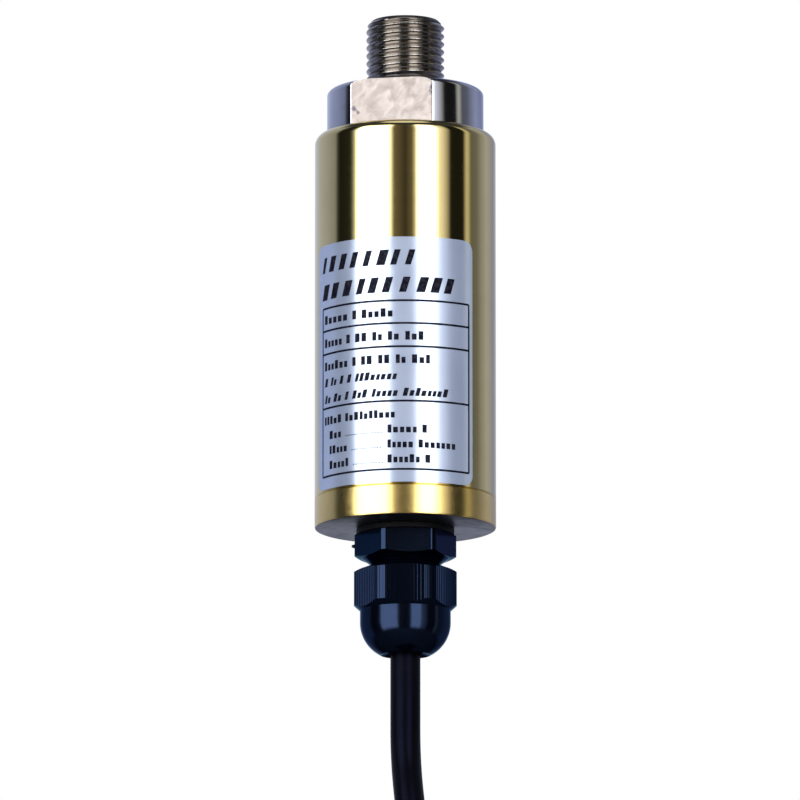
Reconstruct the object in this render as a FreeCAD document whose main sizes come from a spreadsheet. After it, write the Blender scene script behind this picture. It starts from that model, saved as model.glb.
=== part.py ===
import FreeCAD, Part
import math
import os

import Sketcher

# Pressure transmitter: threaded steel port, brass-coloured housing with a rating label, a circuit board
# inside it, and a cable gland with its cable, the spare cable folded into a tied hank.
# Origin: centre of the port's sealing shoulder. +Z points along the axis to the thread's tip, the label
# faces -Y, and every length is in millimetres.

driving = {
    # port and pressure cell
    "threadRadius": 6.5,
    "threadLength": 11.7,
    "threadChamfer": 0.9,
    "inletRadius": 1.75,
    "collarHeight": 7.6,
    "collarChamfer": 1.1,
    "flatDepth": 2.0,
    "flangeWall": 4.2,
    "shoulderStep": 0.75,
    "frontWall": 11.0,
    "cellRadius": 9.5,
    "cellHeight": 8.0,
    "diaphragmRadius": 7.2,
    "diaphragmThickness": 0.1,
    "oilDepth": 0.4,
    "retainerHeight": 2.6,
    "retainerBore": 6.2,
    "retainerRecess": 0.88,
    "retainerSlot": 2.0,
    "pinRadius": 0.25,
    "pinCircle": 3.0,
    # seals and fits
    "fitGap": 0.05,
    "ringSlack": 0.01,
    "cellRingSection": 0.75,
    "grooveDepth": 1.3,
    "grooveWidth": 2.0,
    "grooveSetback": 1.0,
    # housing and label
    "housingWall": 1.2,
    "housingLength": 61.4,
    "lipHeight": 4.0,
    "edgeRound": 1.8,
    "seamChamfer": 0.15,
    "labelGap": 0.02,
    "labelThickness": 0.1,
    "labelHeight": 41.0,
    "labelSetback": 0.3,
    "labelAngle": 118.0,
    "labelCorner": 1.8,
    # end cap
    "capHeight": 5.0,
    "capChamfer": 0.3,
    "spigotHeight": 8.0,
    "spigotWall": 2.25,
    "capFloor": 7.0,
    # circuit board and its brackets
    "boardThickness": 1.6,
    "boardTopGap": 2.5,
    "boardEndGap": 0.5,
    "boardEdgeGap": 2.3,
    "bracketThickness": 0.8,
    "bracketWidth": 3.0,
    "bracketInset": 1.6,
    "bracketDrop": 9.0,
    "footHoleSetback": 1.5,
    "footMargin": 1.3,
    "screwRadius": 0.8,
    "screwHeadRadius": 1.4,
    "screwHeadHeight": 0.9,
    "screwTail": 0.6,
    "screwReach": 4.0,
    "boardScrewDrop": 3.5,
    # parts on the board
    "trimmerSide": 6.6,
    "trimmerDepth": 4.8,
    "trimmerOffset": 4.6,
    "trimmerRise": 7.0,
    "rotorRadius": 2.0,
    "rotorDepth": 1.0,
    "rotorGap": 0.1,
    "rotorStemRadius": 0.8,
    "rotorStemLength": 2.0,
    "rotorSlotWidth": 0.5,
    "rotorSlotDepth": 0.5,
    "chipLength": 8.7,
    "chipWidth": 3.9,
    "chipHeight": 1.6,
    "chipGap": 2.25,
    "chipOffset": 5.0,
    "legPitch": 1.27,
    "legWidth": 0.4,
    "legReach": 1.0,
    "legThickness": 0.25,
    "transistorLength": 6.5,
    "transistorWidth": 3.5,
    "transistorPitch": 2.3,
    "diodeRadius": 1.2,
    "diodeLength": 5.0,
    "diodeGap": 1.85,
    "resistorLength": 2.0,
    "resistorWidth": 1.25,
    "resistorHeight": 0.5,
    "resistorPitch": 2.6,
    "resistorGap": 1.525,
    "resistorRowPitch": 2.4,
    "canRadius": 3.1,
    "canHeight": 6.8,
    "canBase": 6.6,
    "canBaseHeight": 0.9,
    "canDrop": 14.0,
    "ceramicLength": 3.2,
    "ceramicWidth": 1.6,
    "ceramicHeight": 1.2,
    "ceramicPitch": 4.4,
    "ceramicGap": 3.9,
    # cable gland
    "glandThreadRadius": 6.2,
    "glandThreadLength": 8.0,
    "gasketRadius": 8.1,
    "gasketThickness": 1.0,
    "hexWidth": 15.0,
    "hexHeight": 4.0,
    "hexChamfer": 0.7,
    "hexCornerTrim": 0.24,
    "hexTurn": -74.0,
    "nubLength": 0.5,
    "nubRadius": 0.35,
    "stemRadius": 5.5,
    "stemLength": 9.0,
    "stemWall": 1.1,
    "throatRadius": 3.2,
    "throatLength": 4.0,
    "nutGap": 1.2,
    "nutTopRadius": 5.95,
    "nutTopSlope": 1.1,
    "nutRadius": 8.5,
    "nutWidth": 15.6,
    "nutTurn": -78.0,
    "nutGripHeight": 5.5,
    "nutUnderSlope": 0.9,
    "domeRadius": 7.5,
    "domeStraight": 1.9,
    "domeRound": 6.0,
    "domeDepth": 5.5,
    "domeFaceRadius": 4.1,
    "nutThreadGap": 0.08,
    "nutMouthRadius": 3.0,
    "nutMouthDepth": 1.3,
    "insertGap": 0.1,
    "insertCollar": 1.1,
    "insertWall": 0.8,
    "insertConeGap": 0.25,
    "fingerLength": 3.0,
    "fingerTipBore": 2.9,
    "fingerSlot": 0.7,
    "sealWall": 0.85,
    # cable
    "cableRadius": 2.5,
    "coreRadius": 0.6,
    "coreCircle": 1.3,
    "jacketInside": 1.0,
    "corePadPitch": 4.6,
    "corePadGap": 1.975,
    "solderRadius": 0.9,
    "hankRadius": 15.0,
    "hankRun": 80.0,
    "hankLayers": 4.0,
    "tieHeight": 5.0,
    "tieThickness": 1.2,
    "strippedLength": 28.0,
}

# The cable hangs straight out of the gland, drifts to +X and then swings over the hank's right run.
# x, y and z of its points below the gland, chosen by hand.
leadRoute = [
    (0.0, 0.0, -103.0),
    (1.3, -2.8, -117.0),
    (3.2, -5.3, -129.0),
    (10.8, -5.3, -144.0),
    (15.0, -5.3, -158.0),
    (15.0, -5.3, -172.0),
]
hankTop = -135.0  # highest point of the hank
tailEnd = -172.0  # where the cable's jacket ends on the hank's left run
fingerCount = 8
legCount = 7
resistorRows = 2
resistorsInRow = 3
coreNames = ["red", "black", "white"]


class Length:
    """A size and the sheet expression that gives it, so one value both places a shape and drives it."""

    def __init__(self, value, text):
        self.value = value
        self.text = text

    def __add__(self, other):
        other = asLength(other)
        return Length(self.value + other.value, f"({self.text} + {other.text})")

    def __sub__(self, other):
        other = asLength(other)
        return Length(self.value - other.value, f"({self.text} - {other.text})")

    def __mul__(self, other):
        other = asLength(other)
        return Length(self.value * other.value, f"({self.text} * {other.text})")

    def __truediv__(self, other):
        other = asLength(other)
        return Length(self.value / other.value, f"({self.text} / {other.text})")

    def __neg__(self):
        return Length(-self.value, f"(0 - {self.text})")

    def __radd__(self, other):
        return asLength(other) + self

    def __rsub__(self, other):
        return asLength(other) - self

    def __rmul__(self, other):
        return asLength(other) * self


def asLength(number):
    """A Length as it is, and a plain number as a Length of its own."""
    if isinstance(number, Length):
        return number
    return Length(float(number), f"({float(number)!r})")


def root(length):
    """The square root of an area, as a Length."""
    return Length(math.sqrt(length.value), f"sqrt({length.text})")


doc = FreeCAD.newDocument("PressureTransmitter")
sheet = doc.addObject("Spreadsheet::Sheet", "sizes")


class Sizes:
    """The driving sizes by name, each written once into the sheet and read from it."""

    def __init__(self, values):
        for row, (name, value) in enumerate(values.items(), start=1):
            sheet.set(f"A{row}", name)
            sheet.set(f"B{row}", str(value))
            sheet.setAlias(f"B{row}", name)
            setattr(self, name, Length(value, f"sizes.{name}"))


size = Sizes(driving)
doc.recompute()

# sizes worked out from the driving ones
cornerPerFlat = 1 / math.sqrt(3)  # a hexagon's corner radius over its width across flats
pocketRadius = size.cellRadius + size.fitGap
flangeRadius = pocketRadius + size.flangeWall
collarRadius = flangeRadius - size.shoulderStep
boreRadius = flangeRadius + size.fitGap
housingRadius = boreRadius + size.housingWall
housingTop = -size.collarHeight
lipBottom = housingTop - size.lipHeight
housingBottom = housingTop - size.housingLength
pocketTop = -size.frontWall
cellFront = pocketTop - 2 * (size.cellRingSection + size.ringSlack)
cellBack = cellFront - size.cellHeight
retainerBottom = cellBack - size.retainerHeight
flangeBottom = retainerBottom - size.retainerRecess
spigotRadius = boreRadius - size.fitGap
spigotTop = housingBottom + size.spigotHeight
capBottom = housingBottom - size.capHeight
capInside = capBottom + size.capFloor
boardTop = flangeBottom - size.boardTopGap
boardBottom = spigotTop + size.boardEndGap
boardHalf = boreRadius - size.boardEdgeGap
boardFace = size.boardThickness / 2
bracketX = boardHalf - size.bracketInset
trimmerDrop = (boardTop - boardBottom) / 2 - size.trimmerRise  # this and the next drops are from boardTop
chipReach = size.chipWidth / 2 + size.legReach
chipDrop = trimmerDrop + size.trimmerSide / 2 + size.chipGap + chipReach
diodeDrop = chipDrop + chipReach + size.diodeGap + size.diodeRadius
resistorDrop = chipDrop + chipReach + size.resistorGap + size.resistorWidth / 2
resistorEnd = resistorDrop + size.resistorRowPitch * (resistorRows - 1) + size.resistorWidth / 2
padDrop = resistorEnd + size.corePadGap + size.solderRadius
ceramicDrop = size.canDrop + size.canBase / 2 + size.ceramicGap + size.ceramicWidth / 2
hexTop = capBottom - size.gasketThickness
hexBottom = hexTop - size.hexHeight
hexCornerRadius = size.hexWidth * cornerPerFlat - size.hexCornerTrim
stemBottom = hexBottom - size.stemLength
throatBottom = hexBottom - size.throatLength
cupRadius = size.stemRadius - size.stemWall
insertRadius = cupRadius - size.insertGap
insertBore = insertRadius - size.insertWall
insertTop = throatBottom - size.insertGap
insertShoulder = stemBottom - size.insertGap
fingerTop = insertShoulder - size.insertCollar
fingerTip = fingerTop - size.fingerLength
nutTop = hexBottom - size.nutGap
gripTop = nutTop - size.nutTopSlope
gripBottom = gripTop - size.nutGripHeight
domeTop = gripBottom - size.nutUnderSlope
roundTop = domeTop - size.domeStraight
nutBottom = roundTop - size.domeDepth
nutBore = size.stemRadius + size.nutThreadGap
coneBottom = nutBottom + size.nutMouthDepth
coneTop = fingerTop - size.insertConeGap
collarOuter = nutBore - size.insertConeGap
fingerTipOuter = size.nutMouthRadius + size.insertWall
sealBore = size.cableRadius + size.fitGap
sealRadius = sealBore + size.sealWall
jacketTop = capInside + size.jacketInside
hankHalf = size.hankRadius + size.cableRadius
hankWidth = 2 * size.cableRadius * size.hankLayers

nodes = []  # every finished sub-part, in the order that it is made


def node(thing, label):
    """Name a finished sub-part and keep it for export."""
    thing.Label = label
    nodes.append(thing)
    return thing


def bind(thing, **properties):
    """Give properties their values and tie them to the sheet."""
    for name, length in properties.items():
        length = asLength(length)
        setattr(thing, name, length.value)
        thing.setExpression(name, length.text)
    return thing


def place(thing, x=0, y=0, z=0, axis=(0, 0, 1), turn=0):
    """Move a shape to x, y, z, turned about an axis by a fixed angle in degrees."""
    spot = [asLength(v) for v in (x, y, z)]
    rotation = FreeCAD.Rotation(FreeCAD.Vector(*axis), turn)
    thing.Placement = FreeCAD.Placement(FreeCAD.Vector(*[v.value for v in spot]), rotation)
    for letter, length in zip("xyz", spot):
        thing.setExpression(f"Placement.Base.{letter}", length.text)
    return thing


def box(name, lengths, corner):
    """A block from its lowest corner."""
    thing = doc.addObject("Part::Box", name)
    bind(thing, Length=lengths[0], Width=lengths[1], Height=lengths[2])
    return place(thing, *corner)


def cylinder(name, radius, height, x=0, y=0, z=0, axis=(0, 0, 1), turn=0):
    """A round bar from the centre of its lower end."""
    thing = doc.addObject("Part::Cylinder", name)
    bind(thing, Radius=radius, Height=height)
    return place(thing, x, y, z, axis, turn)


def cut(name, base, tools):
    """The base with every tool taken out of it."""
    thing = doc.addObject("Part::Cut", name)
    thing.Base = base
    thing.Tool = tools[0] if len(tools) == 1 else group(name + "Tools", tools)
    return thing


def fuse(name, pieces):
    """One solid from pieces that meet."""
    thing = doc.addObject("Part::MultiFuse", name)
    thing.Shapes = pieces
    thing.Refine = True
    return thing


def common(name, base, tool):
    """What two shapes share."""
    thing = doc.addObject("Part::Common", name)
    thing.Base = base
    thing.Tool = tool
    return thing


def group(name, pieces):
    """Separate solids kept together."""
    thing = doc.addObject("Part::Compound", name)
    thing.Links = pieces
    return thing


def roundedEdge(start, end, radius):
    """A clockwise arc between two profile corners, bulging out of the material on its right."""
    chord = end - start
    middle = (start + end) * 0.5
    rise = math.sqrt(radius**2 - (chord.Length / 2) ** 2)
    centre = middle + FreeCAD.Vector(chord.y, -chord.x, 0).normalize() * rise
    circle = Part.Circle(centre, FreeCAD.Vector(0, 0, 1), radius)
    first = math.atan2(end.y - centre.y, end.x - centre.x)
    last = math.atan2(start.y - centre.y, start.x - centre.x)
    return Part.ArcOfCircle(circle, first, last)


def pin(sketch, name, kind, place, length):
    """Hold one coordinate of a sketch point at its distance from the origin."""
    if abs(length.value) < 1e-9:
        sketch.addConstraint(Sketcher.Constraint("PointOnObject", *place, -2 if kind == "DistanceX" else -1))
        return
    if length.value < 0:
        ends, length = (*place, -1, 1), -length
    else:
        ends = (-1, 1, *place)
    index = sketch.addConstraint(Sketcher.Constraint(kind, *ends, length.value))
    sketch.renameConstraint(index, name)
    sketch.setExpression(f"Constraints.{name}", length.text)


def turned(name, profile):
    """A turned body about Z. Its profile runs clockwise through (radius, height) corners.

    A third value is the radius of the rounded edge from that corner to the next.
    """
    body = doc.addObject("PartDesign::Body", name)
    plane = [thing for thing in body.Origin.OriginFeatures if thing.Role == "XZ_Plane"][0]
    sketch = body.newObject("Sketcher::SketchObject", name + "Profile")
    sketch.AttachmentSupport = [(plane, "")]
    sketch.MapMode = "FlatFace"
    corners = [(asLength(c[0]), asLength(c[1])) for c in profile]
    spots = [FreeCAD.Vector(r.value, z.value, 0) for r, z in corners]
    count = len(profile)
    heads = []
    tails = []
    for i, corner in enumerate(profile):
        start, end = spots[i], spots[(i + 1) % count]
        if len(corner) == 3:
            sketch.addGeometry(roundedEdge(start, end, corner[2].value))
            index = sketch.addConstraint(Sketcher.Constraint("Radius", i, corner[2].value))
            sketch.renameConstraint(index, f"round{i}")
            sketch.setExpression(f"Constraints.round{i}", corner[2].text)
            heads.append(2)
            tails.append(1)
        else:
            sketch.addGeometry(Part.LineSegment(start, end))
            heads.append(1)
            tails.append(2)
    for i in range(count):
        following = (i + 1) % count
        sketch.addConstraint(
            Sketcher.Constraint("Coincident", i, tails[i], following, heads[following])
        )
    for i, (radius, height) in enumerate(corners):
        pin(sketch, f"radius{i}", "DistanceX", (i, heads[i]), radius)
        pin(sketch, f"height{i}", "DistanceY", (i, heads[i]), height)
    turn = body.newObject("PartDesign::Revolution", name + "Turn")
    turn.Profile = sketch
    turn.ReferenceAxis = (sketch, ["V_Axis"])
    turn.Angle = 360
    return body


def sealRing(name, radius, section, height):
    """An O-ring about Z: radius to the middle of its section."""
    thing = doc.addObject("Part::Torus", name)
    bind(thing, Radius1=radius, Radius2=section)
    return place(thing, z=height)


def hexBlock(name, width, height, bottom, turn):
    """A hexagonal bar with one flat facing the angle turn."""
    thing = doc.addObject("Part::Prism", name)
    thing.Polygon = 6
    bind(thing, Circumradius=width * cornerPerFlat, Height=height)
    place(thing, z=bottom)
    thing.setExpression("Placement.Rotation.Angle", (turn + 30).text)
    return thing


def vectors(points):
    """Points of Lengths or numbers as plain vectors."""
    return [FreeCAD.Vector(*[asLength(v).value for v in point]) for point in points]


def bentPath(points):
    """Straight runs joined by tangent arcs, each as large as its two runs allow. Returns wire and radii."""
    edges = []
    radii = []
    start = points[0]
    for before, corner, after in zip(points, points[1:], points[2:]):
        back = (before - corner).normalize()
        ahead = (after - corner).normalize()
        half = (math.pi - back.getAngle(ahead)) / 2
        reach = 0.45 * min((before - corner).Length, (after - corner).Length)
        radius = reach / math.tan(half)
        arcStart = corner + back * reach
        arcEnd = corner + ahead * reach
        bisector = (back + ahead).normalize()
        arcMiddle = corner + bisector * (radius / math.cos(half) - radius)
        edges.append(Part.LineSegment(start, arcStart).toShape())
        edges.append(Part.Arc(arcStart, arcMiddle, arcEnd).toShape())
        radii.append(radius)
        start = arcEnd
    edges.append(Part.LineSegment(start, points[-1]).toShape())
    return Part.Wire(edges), radii


def bentRod(name, points, radius):
    """A round rod along a bent path. Its volume is compared with its section times its length."""
    path, radii = bentPath(points)
    heading = points[1] - points[0]
    section = Part.Wire(Part.makeCircle(radius.value, points[0], heading))
    shape = path.makePipeShell([section], True, True)
    expected = math.pi * radius.value**2 * path.Length
    if abs(shape.Volume / expected - 1) > 0.01:
        raise RuntimeError(f"{name}: volume {shape.Volume:.2f}, expected {expected:.2f}")
    thing = doc.addObject("Part::Feature", name)
    thing.Shape = shape
    thing.Placement = FreeCAD.Placement()
    print(f"{name}: length {path.Length:.1f}, radii {[round(r, 1) for r in radii]}")
    return thing


def makePort():
    """The turned steel port: thread, collar with two spanner flats, seal groove, flange, cell pocket."""
    grooveTop = housingTop - size.grooveSetback
    grooveBottom = grooveTop - size.grooveWidth
    grooveFloor = collarRadius - size.grooveDepth
    blank = turned(
        "portBlank",
        [
            (size.inletRadius, size.threadLength),
            (size.threadRadius - size.threadChamfer, size.threadLength),
            (size.threadRadius, size.threadLength - size.threadChamfer),
            (size.threadRadius, 0),
            (collarRadius - size.collarChamfer, 0),
            (collarRadius, -size.collarChamfer),
            (collarRadius, grooveTop),
            (grooveFloor, grooveTop),
            (grooveFloor, grooveBottom),
            (collarRadius, grooveBottom),
            (collarRadius, lipBottom),
            (flangeRadius, lipBottom),
            (flangeRadius, flangeBottom),
            (pocketRadius, flangeBottom),
            (pocketRadius, pocketTop),
            (size.inletRadius, pocketTop),
        ],
    )
    flatY = collarRadius - size.flatDepth
    across = 2 * collarRadius
    block = (across, across, size.collarHeight)
    cutters = [
        box("flatCutterFront", block, (-collarRadius, -flatY - across, housingTop)),
        box("flatCutterBack", block, (-collarRadius, flatY, housingTop)),
    ]
    holeRadius = size.screwRadius + size.fitGap
    holes = [
        cylinder(f"footThread{i}", holeRadius, size.screwReach, x, footHoleY(), flangeBottom)
        for i, x in enumerate((-bracketX, bracketX))
    ]
    node(cut("port", blank, cutters + holes), "process_port")
    ringSection = (size.grooveDepth + size.fitGap) / 2 - size.ringSlack
    ringRadius = collarRadius + size.fitGap - size.ringSlack - ringSection
    ringHeight = grooveTop - size.grooveWidth / 2
    node(sealRing("portRing", ringRadius, ringSection, ringHeight), "port_o_ring")


def footHoleY():
    """How far from the board's middle plane a bracket foot's hole sits on the flange's ring face."""
    circle = pocketRadius + size.footHoleSetback
    return root(circle * circle - bracketX * bracketX)


def makeCell():
    """The oil-filled pressure cell with its diaphragm, front seal, retaining ring and bent pins."""
    seat = cellFront - size.diaphragmThickness
    oilRadius = size.diaphragmRadius - size.cellRingSection
    cell = turned(
        "cellBody",
        [
            (0, seat - size.oilDepth),
            (oilRadius, seat - size.oilDepth),
            (oilRadius, seat),
            (size.diaphragmRadius, seat),
            (size.diaphragmRadius, cellFront),
            (size.cellRadius, cellFront),
            (size.cellRadius, cellBack),
            (0, cellBack),
        ],
    )
    node(cell, "sensor_cell")
    disc = cylinder("diaphragm", size.diaphragmRadius - size.ringSlack, size.diaphragmThickness, z=seat)
    node(disc, "sensor_diaphragm")
    ringRadius = size.cellRadius - size.cellRingSection - size.fitGap - size.ringSlack
    ringHeight = (pocketTop + cellFront) / 2
    node(sealRing("cellRing", ringRadius, size.cellRingSection, ringHeight), "sensor_o_ring")
    blank = turned(
        "retainerBlank",
        [
            (size.retainerBore, cellBack),
            (size.cellRadius, cellBack),
            (size.cellRadius, retainerBottom),
            (size.retainerBore, retainerBottom),
        ],
    )
    slot = box(
        "retainerSlotCutter",
        (2 * size.cellRadius, size.retainerSlot, size.retainerHeight / 2),
        (-size.cellRadius, -size.retainerSlot / 2, retainerBottom),
    )
    node(cut("retainer", blank, [slot]), "sensor_retaining_ring")
    across = size.pinCircle / math.sqrt(2)
    touch = boardFace + size.pinRadius + size.ringSlack
    rods = []
    for i, (sideX, sideY) in enumerate([(1, -1), (-1, -1), (1, 1), (-1, 1)]):
        x = across * sideX
        route = [
            (x, across * sideY, cellBack),
            (x, across * sideY, boardTop + size.boardTopGap / 2),
            (x, touch * sideY, boardTop - size.boardTopGap / 2),
            (x, touch * sideY, boardTop - size.boardTopGap * 1.5),
        ]
        rods.append(bentRod(f"sensorPin{i}", vectors(route), size.pinRadius))
    node(group("sensorPins", rods), "sensor_pins")


def makeHousing():
    """The drawn tube with its rounded top edge and inner lip, and the foil label round its front."""
    tube = turned(
        "housing",
        [
            (collarRadius + size.fitGap, housingTop),
            (housingRadius - size.edgeRound, housingTop, size.edgeRound),
            (housingRadius, housingTop - size.edgeRound),
            (housingRadius, housingBottom + size.seamChamfer),
            (housingRadius - size.seamChamfer, housingBottom),
            (boreRadius, housingBottom),
            (boreRadius, lipBottom),
            (collarRadius + size.fitGap, lipBottom),
        ],
    )
    node(tube, "housing_tube")
    inner = housingRadius + size.labelGap
    labelBottom = housingBottom + size.labelSetback
    outer = doc.addObject("Part::Cylinder", "labelOuter")
    bind(outer, Radius=inner + size.labelThickness, Height=size.labelHeight, Angle=size.labelAngle)
    place(outer, z=labelBottom)
    outer.setExpression("Placement.Rotation.Angle", (-90 - size.labelAngle / 2).text)
    cutters = [cylinder("labelCore", inner, size.labelHeight, z=labelBottom)]
    for side in (-1, 1):
        for end, edge in ((-1, labelBottom), (1, labelBottom + size.labelHeight)):
            cutters.append(labelCornerCutter(inner, side, end, edge))
    node(cut("label", outer, cutters), "rating_label")


def labelCornerCutter(inner, side, end, edge):
    """What a rounded corner of the label leaves out: a block less a bar, turned to that corner."""
    corner = size.labelCorner
    name = f"labelCorner{side + 1}{end + 1}"
    reach = 2 * corner
    low = -corner if side > 0 else asLength(0)
    bottom = edge - corner if end > 0 else edge
    block = box(name + "Block", (reach, corner, corner), (inner - corner, low, bottom))
    barrelY = -side * corner
    barrelZ = edge - end * corner
    barrel = cylinder(name + "Bar", corner, reach, inner - corner, barrelY, barrelZ, (0, 1, 0), 90)
    cutter = place(cut(name, block, [barrel]))
    cutter.Placement = FreeCAD.Placement(
        FreeCAD.Vector(), FreeCAD.Rotation(FreeCAD.Vector(0, 0, 1), -90 + side * size.labelAngle.value / 2)
    )
    return cutter


def makeCap():
    """The end cap: a band flush with the housing, and a spigot with a seal groove inside its bore."""
    grooveBottom = housingBottom + size.seamChamfer * 2
    grooveTop = grooveBottom + size.grooveWidth
    grooveFloor = spigotRadius - size.grooveDepth
    cupWall = spigotRadius - size.spigotWall
    holeRadius = size.glandThreadRadius + size.fitGap
    cap = turned(
        "cap",
        [
            (cupWall, spigotTop),
            (spigotRadius, spigotTop),
            (spigotRadius, grooveTop),
            (grooveFloor, grooveTop),
            (grooveFloor, grooveBottom),
            (spigotRadius, grooveBottom),
            (spigotRadius, housingBottom),
            (housingRadius - size.seamChamfer, housingBottom),
            (housingRadius, housingBottom - size.seamChamfer),
            (housingRadius, capBottom + size.capChamfer),
            (housingRadius - size.capChamfer, capBottom),
            (holeRadius, capBottom),
            (holeRadius, capInside),
            (cupWall, capInside),
        ],
    )
    node(cap, "end_cap")
    ringSection = (size.grooveDepth + size.fitGap) / 2 - size.ringSlack
    ringRadius = spigotRadius + size.fitGap - size.ringSlack - ringSection
    node(sealRing("capRing", ringRadius, ringSection, (grooveTop + grooveBottom) / 2), "cap_o_ring")


def screw(name, x, y, z, shank, axis, turn):
    """A pan-head screw: head below its seat, shank above it, before it is turned into place."""
    head = cylinder(name + "Head", size.screwHeadRadius, size.screwHeadHeight, z=-size.screwHeadHeight)
    bar = cylinder(name + "Shank", size.screwRadius, shank)
    return place(fuse(name, [head, bar]), x, y, z, axis, turn)


def makeBoard():
    """The circuit board, its two brackets off the port's flange, and their screws."""
    boardHeight = boardTop - boardBottom
    lengths = (2 * boardHalf, size.boardThickness, boardHeight)
    blank = box("boardBlank", lengths, (-boardHalf, -boardFace, boardBottom))
    holeRadius = size.screwRadius + size.fitGap
    screwZ = boardTop - size.boardScrewDrop
    sides = [("left", -bracketX), ("right", bracketX)]
    depth = 2 * size.boardThickness
    drills = [
        cylinder(f"boardDrill{name}", holeRadius, depth, x, size.boardThickness, screwZ, (1, 0, 0), 90)
        for name, x in sides
    ]
    node(cut("board", blank, drills), "circuit_board")
    footEnd = footHoleY() + size.footMargin
    footScrews = []
    boardScrews = []
    for name, x in sides:
        edge = x - size.bracketWidth / 2
        upright = box(
            f"upright{name}",
            (size.bracketWidth, size.bracketThickness, size.bracketDrop),
            (edge, boardFace, flangeBottom - size.bracketDrop),
        )
        foot = box(
            f"foot{name}",
            (size.bracketWidth, footEnd - boardFace, size.bracketThickness),
            (edge, boardFace, flangeBottom - size.bracketThickness),
        )
        angle = fuse(f"angle{name}", [upright, foot])
        wall = size.bracketThickness
        footHoleZ = flangeBottom - 1.5 * wall
        footHole = cylinder(f"footHole{name}", holeRadius, 2 * wall, x, footHoleY(), footHoleZ)
        sideEnd = boardFace + 2 * wall
        sideHole = cylinder(f"sideHole{name}", holeRadius, 3 * wall, x, sideEnd, screwZ, (1, 0, 0), 90)
        node(cut(f"bracket{name}", angle, [footHole, sideHole]), f"board_bracket_{name}")
        seat = flangeBottom - size.bracketThickness
        footShank = size.bracketThickness + size.screwReach - size.screwTail
        footScrews.append(screw(f"footScrew{name}", x, footHoleY(), seat, footShank, (0, 0, 1), 0))
        sideShank = size.boardThickness + size.bracketThickness + size.screwTail
        boardScrews.append(screw(f"boardScrew{name}", x, -boardFace, screwZ, sideShank, (1, 0, 0), -90))
    node(group("footScrews", footScrews), "bracket_screws")
    node(group("boardScrews", boardScrews), "board_screws")


def onFront(name, lengths, x, drop):
    """A block standing on the board's front face, centred on x and on its drop below the board's top."""
    wide, deep, tall = lengths
    return box(name, (wide, deep, tall), (x - wide / 2, -boardFace - deep, boardTop - drop - tall / 2))


def onBack(name, lengths, x, drop):
    """The same on the board's back face."""
    wide, deep, tall = lengths
    return box(name, (wide, deep, tall), (x - wide / 2, boardFace, boardTop - drop - tall / 2))


def makeTrimmer(name, x):
    """A square trimmer with a slotted rotor that turns on a stem in its body."""
    face = -boardFace - size.trimmerDepth
    z = boardTop - trimmerDrop
    lengths = (size.trimmerSide, size.trimmerDepth, size.trimmerSide)
    block = onFront(f"{name}Block", lengths, x, trimmerDrop)
    dishDepth = size.rotorDepth + size.rotorGap
    dishRadius = size.rotorRadius + size.rotorGap
    dish = cylinder(f"{name}Dish", dishRadius, dishDepth, x, face + dishDepth, z, (1, 0, 0), 90)
    socketDepth = dishDepth + size.rotorStemLength + size.rotorGap
    socketRadius = size.rotorStemRadius + size.fitGap
    socket = cylinder(f"{name}Socket", socketRadius, socketDepth, x, face + socketDepth, z, (1, 0, 0), 90)
    node(cut(f"{name}Body", block, [dish, socket]), f"{name}_trimmer_body")
    discEnd = face + size.rotorDepth
    disc = cylinder(f"{name}Disc", size.rotorRadius, size.rotorDepth, x, discEnd, z, (1, 0, 0), 90)
    stemDepth = size.rotorDepth + size.rotorStemLength
    stem = cylinder(f"{name}Stem", size.rotorStemRadius, stemDepth, x, face + stemDepth, z, (1, 0, 0), 90)
    slot = box(
        f"{name}Slot",
        (2 * size.rotorRadius, size.rotorSlotDepth, size.rotorSlotWidth),
        (x - size.rotorRadius, face, z - size.rotorSlotWidth / 2),
    )
    node(cut(f"{name}Rotor", fuse(f"{name}Turning", [disc, stem]), [slot]), f"{name}_trimmer_rotor")


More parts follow.
